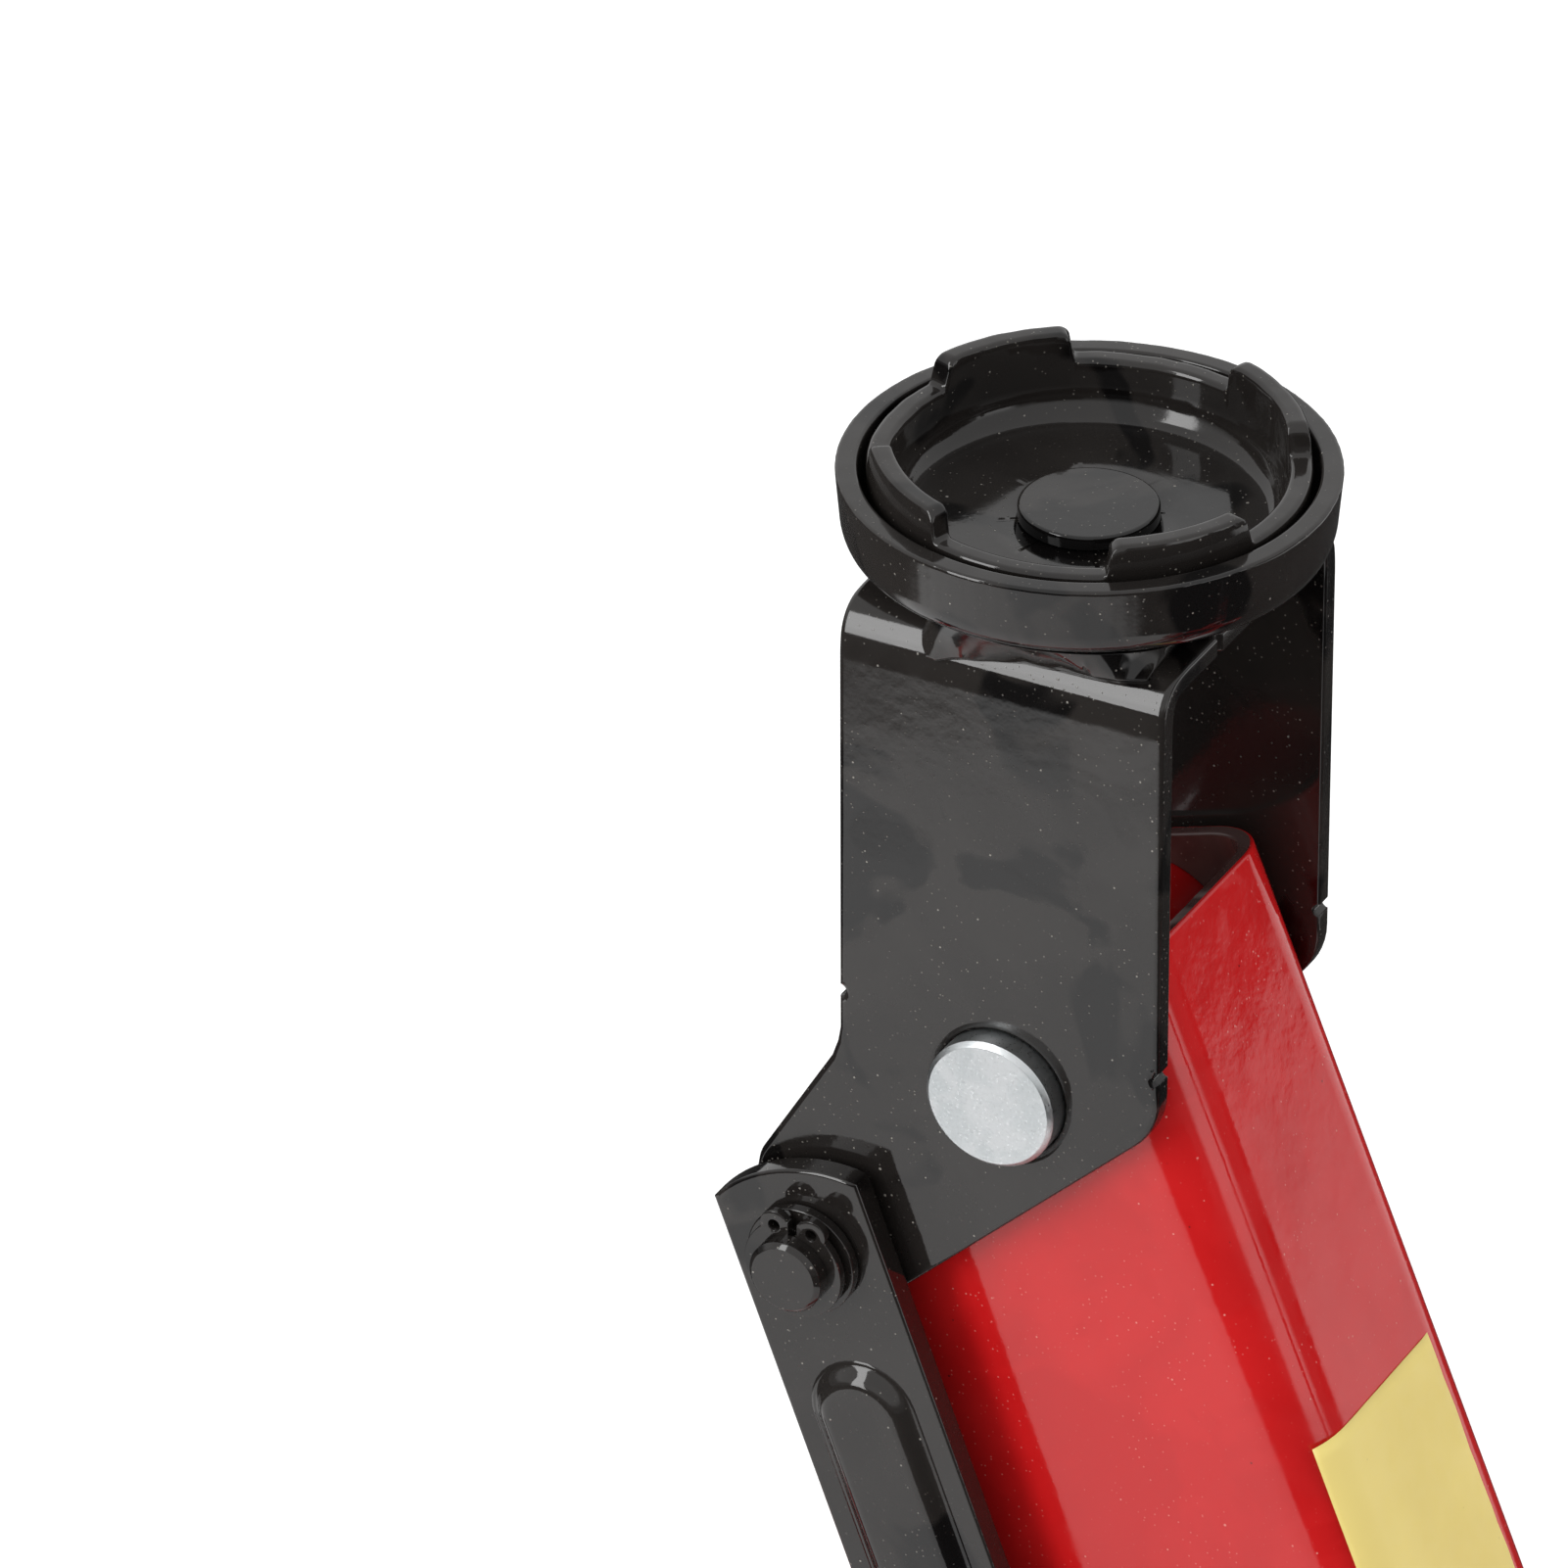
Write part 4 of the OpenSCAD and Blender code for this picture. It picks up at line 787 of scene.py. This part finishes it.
def two_ends(centre, radius, half_sweep, steps):
    """Outline made of an arc at each end, about (centre, 0) and (-centre, 0)."""
    out = []
    for end in (1, -1):
        for i in range(steps + 1):
            a = -half_sweep + 2 * half_sweep * i / steps
            out.append((end * (centre + radius * math.cos(a)), end * radius * math.sin(a)))
    return out


def link(node, side, body):
    lo, hi = box_mm(node)
    inner = lo.y if side > 0 else hi.y
    mid = (centre_mm("link_front_shaft") + centre_mm("link_rear_pins")) / 2
    mid.y = 0

    def place(u, v, y):
        return mid + ALONG * u + BACK * v + Vector((0, inner + side * y, 0))

    bar = two_ends(ARM_LENGTH / 2 + LINK_REACH - LINK_END_R, LINK_END_R,
                   math.asin(LINK_W / 2 / LINK_END_R), 16)
    loops = [bar, round_hole(ARM_LENGTH / 2, 0, FRONT_HOLE), round_hole(-ARM_LENGTH / 2, 0, REAR_HOLE)]
    sheet(node + "_plate", loops, lambda u, v, w: place(u, v, LINK_T - w), LINK_T, [], body, "black_paint",
          node, 0.5)
    loops = [[place(u, v, LINK_T + z) for u, v in two_ends(RIB_HALF, r, math.pi / 2, 16)] for r, z in RIB]
    rings(node + "_rib", loops, False, body, "black_paint", node, caps=True)


link("link_left", 1, "left_link")
link("link_right", -1, "right_link")


# ---- Blank sticker on the arm's back ----

def label_film():
    p = Paint("label_film", 0.42)
    fibre = p.noise(420, 4, warp=0.3)
    faded = p.blend(p.span(p.noise(45, 3), 0.35, 0.7), (0.86, 0.70, 0.22), (0.80, 0.64, 0.19))
    dust = p.combine(p.specks(3.0, 0.14, 0.5), 0.5, "MULTIPLY")
    p.colour(p.blend(dust, faded, (0.55, 0.42, 0.14)))
    p.roughness(p.span(fibre, 0.3, 0.7, 0.34, 0.5))
    p.bump(fibre, 0.012, 0.6)
    return p.mat


def sticker(name, top, length, left, right, thick):
    """Wraps over the arm's rounded corners; distances run along the surface."""
    flat = ARM_Y - ARM_CORNER
    cols, rows, under = 44, 30, 0.01

    def place(s, t, lift):
        over = max(0.0, abs(t) - flat) / ARM_CORNER
        y = math.copysign(min(abs(t), flat) + (ARM_CORNER + lift) * math.sin(over), t)
        h = ARM_BACK - ARM_CORNER + (ARM_CORNER + lift) * math.cos(over)
        return HEAD + BACK_ALONG * (s - ARM_LENGTH) + BACK_UP * h + Vector((0, y - HEAD.y, 0))

    grid = []
    for lift in (thick, under):
        for j in range(rows + 1):
            for i in range(cols + 1):
                t = right + (left - right) * i / cols
                s = top - length * j / rows
                corner = max(0.0, 1 - 9 * (min(i, cols - i) / cols + min(j, rows - j) / rows))
                wave = 0.03 * (1 + jitter(s, t, 3, 0.25)) + 0.10 * corner
                grid.append(place(s, t, lift + wave) * MM)
    w = cols + 1
    layer = w * (rows + 1)
    faces = []
    for j in range(rows):
        for i in range(cols):
            a = j * w + i
            faces.append((a, a + 1, a + 1 + w, a + w))
            faces.append((layer + a + w, layer + a + 1 + w, layer + a + 1, layer + a))
    rim = [j * w for j in range(rows)] + [rows * w + i for i in range(cols)]
    rim += [(rows - j) * w + cols for j in range(rows)] + [cols - i for i in range(cols)]
    for a, b in zip(rim, rim[1:] + rim[:1]):
        faces.append((a, b, layer + b, layer + a))
    mesh = bpy.data.meshes.new(name)
    mesh.from_pydata(grid, [], faces)
    turn_out(mesh)
    mesh.materials.append(label_film())
    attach(add_object(name, mesh), "arm")


sticker("arm_sticker", ARM_LENGTH - 56, 64, 16.85, -19.2, 0.12)


# ---- Studio: floor, world, lamps ----
# Mirror reflections see pale sheets on a dark floor and walls; everything else sees plain light.

def studio_floor():
    radius, sides = 4.0, 96
    turns = [2 * math.pi * k / sides for k in range(sides)]
    mesh = bpy.data.meshes.new("floor")
    rim = [(radius * math.cos(a), radius * math.sin(a), 0) for a in turns]
    mesh.from_pydata(rim, [], [tuple(range(sides))])
    p = Paint("floor_paper", 0.9)
    p.shader.inputs["Specular IOR Level"].default_value = 0.0
    p.shader.inputs["Emission Color"].default_value = (1, 1, 1, 1)
    path = p.node("ShaderNodeLightPath")
    mirror = path.outputs["Is Glossy Ray"]

    def outside(spot, start, stop):
        """0 on a round sheet about the spot, 1 past its soft edge, in metres."""
        away = p.node("ShaderNodeVectorMath", {0: p.place, 1: (*spot, 0)}, operation="DISTANCE")
        return p.span(away.outputs["Value"], start, stop)

    off_sheets = p.combine(outside((0.20, 0.20), 0.31, 0.37), outside((-0.75, -0.95), 0.72, 0.82), "MULTIPLY")
    beyond = p.combine(off_sheets, mirror, "MULTIPLY")
    p.colour(p.blend(beyond, (0.80, 0.80, 0.80), (0.04, 0.04, 0.04)))
    seen = p.combine(path.outputs["Is Camera Ray"], p.combine(mirror, beyond, "SUBTRACT"))
    seen = p.combine(seen, path.outputs["Is Transmission Ray"])
    p.tree.links.new(p.span(seen, 0, 1, 0.0, 0.30), p.shader.inputs["Emission Strength"])
    mesh.materials.append(p.mat)
    add_object("floor", mesh)


studio_floor()


def studio_world():
    """Mirrors see a ring of walls and a ceiling, the camera sees white, and the rest plain light."""
    world = bpy.data.worlds.new("studio")
    bpy.context.scene.world = world
    world.use_nodes = True
    tree = world.node_tree
    tree.nodes.clear()

    def node(kind, ins=None, **props):
        return add_node(tree, kind, ins, **props)

    def glow(colour, strength):
        return node("ShaderNodeBackground", {"Color": colour, "Strength": strength}).outputs[0]

    way = node("ShaderNodeSeparateXYZ", {0: node("ShaderNodeTexCoord").outputs["Generated"]})
    minus_y = node("ShaderNodeMath", {0: way.outputs[1], 1: -1.0}, operation="MULTIPLY").outputs[0]
    azimuth = node("ShaderNodeMath", {0: way.outputs[0], 1: minus_y}, operation="ARCTAN2").outputs[0]
    share = node("ShaderNodeMapRange", {"Value": azimuth, "From Min": -math.pi, "From Max": math.pi})
    ring = node("ShaderNodeValToRGB", {0: share.outputs[0]})
    walls = [(-180, 0.10), (-113, 0.10), (-107, 1.0), (-83, 1.0), (-77, 0.07), (-50, 0.07), (-43, 0.42),
             (60, 0.50), (80, 0.10), (180, 0.10)]
    keys = ring.color_ramp.elements
    while len(keys) < len(walls):
        keys.new(0.5)
    for key, (angle, level) in zip(keys, walls):
        key.position = (angle + 180) / 360
        key.color = (level, level, level, 1)
    rise = node("ShaderNodeMapRange", {"Value": way.outputs[2], "From Min": 0.10, "From Max": 0.30},
                interpolation_type="SMOOTHSTEP").outputs[0]
    room = node("ShaderNodeMix", {0: rise, 6: ring.outputs[0], 7: (0.48, 0.48, 0.48, 1)}, data_type="RGBA")
    white = (1, 1, 1, 1)
    lit, mirrored, shown = glow(white, 0.68), glow(room.outputs[2], 1.9), glow(white, 1.0)
    path = node("ShaderNodeLightPath").outputs
    lighting = node("ShaderNodeMixShader", {0: path["Is Glossy Ray"], 1: lit, 2: mirrored}).outputs[0]
    direct = node("ShaderNodeMath", {0: path["Is Camera Ray"], 1: path["Is Transmission Ray"]},
                  operation="MAXIMUM").outputs[0]
    surface = node("ShaderNodeMixShader", {0: direct, 1: lighting, 2: shown}).outputs[0]
    node("ShaderNodeOutputWorld", {"Surface": surface})


studio_world()

LOOK = Vector((SADDLE_X, 0, DISH_Z - 60)) * MM


def softbox(name, direction, distance, size, radiance, facing=None, mirrored=True):
    """An area lamp; with facing, its width stays along X."""
    data = bpy.data.lights.new(name, "AREA")
    data.shape = "RECTANGLE"
    data.size, data.size_y = size
    data.energy = radiance * math.pi * size[0] * size[1]
    obj = bpy.data.objects.new(name, data)
    bpy.context.scene.collection.objects.link(obj)
    away = Vector(direction).normalized()
    obj.location = LOOK + away * distance
    obj.rotation_mode = "QUATERNION"
    if facing:
        front, wide = Vector(facing).normalized(), Vector((1, 0, 0))
        obj.rotation_quaternion = Matrix((wide, front.cross(wide), front)).transposed().to_quaternion()
    else:
        obj.rotation_quaternion = away.to_track_quat("Z", "Y")
    obj.visible_camera = False
    obj.visible_glossy = mirrored


softbox("key", (0.386, 0.674, 0.354), 1.236, (0.40, 1.26), 6.9, facing=(0, 0.885, 0.465))
softbox("far_top", (0.40, -0.75, 0.55), 1.6, (1.4, 0.9), 1.6, mirrored=False)
softbox("back_fill", (-0.75, -0.35, 0.30), 1.6, (1.2, 1.2), 1.5, mirrored=False)


# ---- Camera ----

AZIMUTH, ELEVATION, ROLL = math.radians(208.5), math.radians(31.4), math.radians(-0.262)
VIEW_ANGLE = math.radians(7.23)
CAMERA_AWAY = 1505.7
# How far right of and below the dish's rim the camera aims
AIM_RIGHT, AIM_DOWN = -37.06, 38.88
SENSOR = 36


def camera():
    back = Vector((math.sin(AZIMUTH) * math.cos(ELEVATION), -math.cos(AZIMUTH) * math.cos(ELEVATION),
                   math.sin(ELEVATION)))
    right = Vector((math.cos(AZIMUTH), math.sin(AZIMUTH), 0))
    up = back.cross(right)
    right, up = (right * math.cos(ROLL) + up * math.sin(ROLL), up * math.cos(ROLL) - right * math.sin(ROLL))
    aim = Vector((SADDLE_X, 0, DISH_Z + DISH_H)) + right * AIM_RIGHT - up * AIM_DOWN
    data = bpy.data.cameras.new("camera")
    data.sensor_width = SENSOR
    data.lens = SENSOR / 2 / math.tan(VIEW_ANGLE / 2)
    data.clip_start, data.clip_end = 0.05, 50
    obj = bpy.data.objects.new("camera", data)
    bpy.context.scene.collection.objects.link(obj)
    turn = Matrix((right, up, back)).transposed().to_4x4()
    obj.matrix_world = Matrix.Translation((aim + back * CAMERA_AWAY) * MM) @ turn
    bpy.context.scene.camera = obj


camera()
bpy.context.scene.view_settings.view_transform = "Standard"
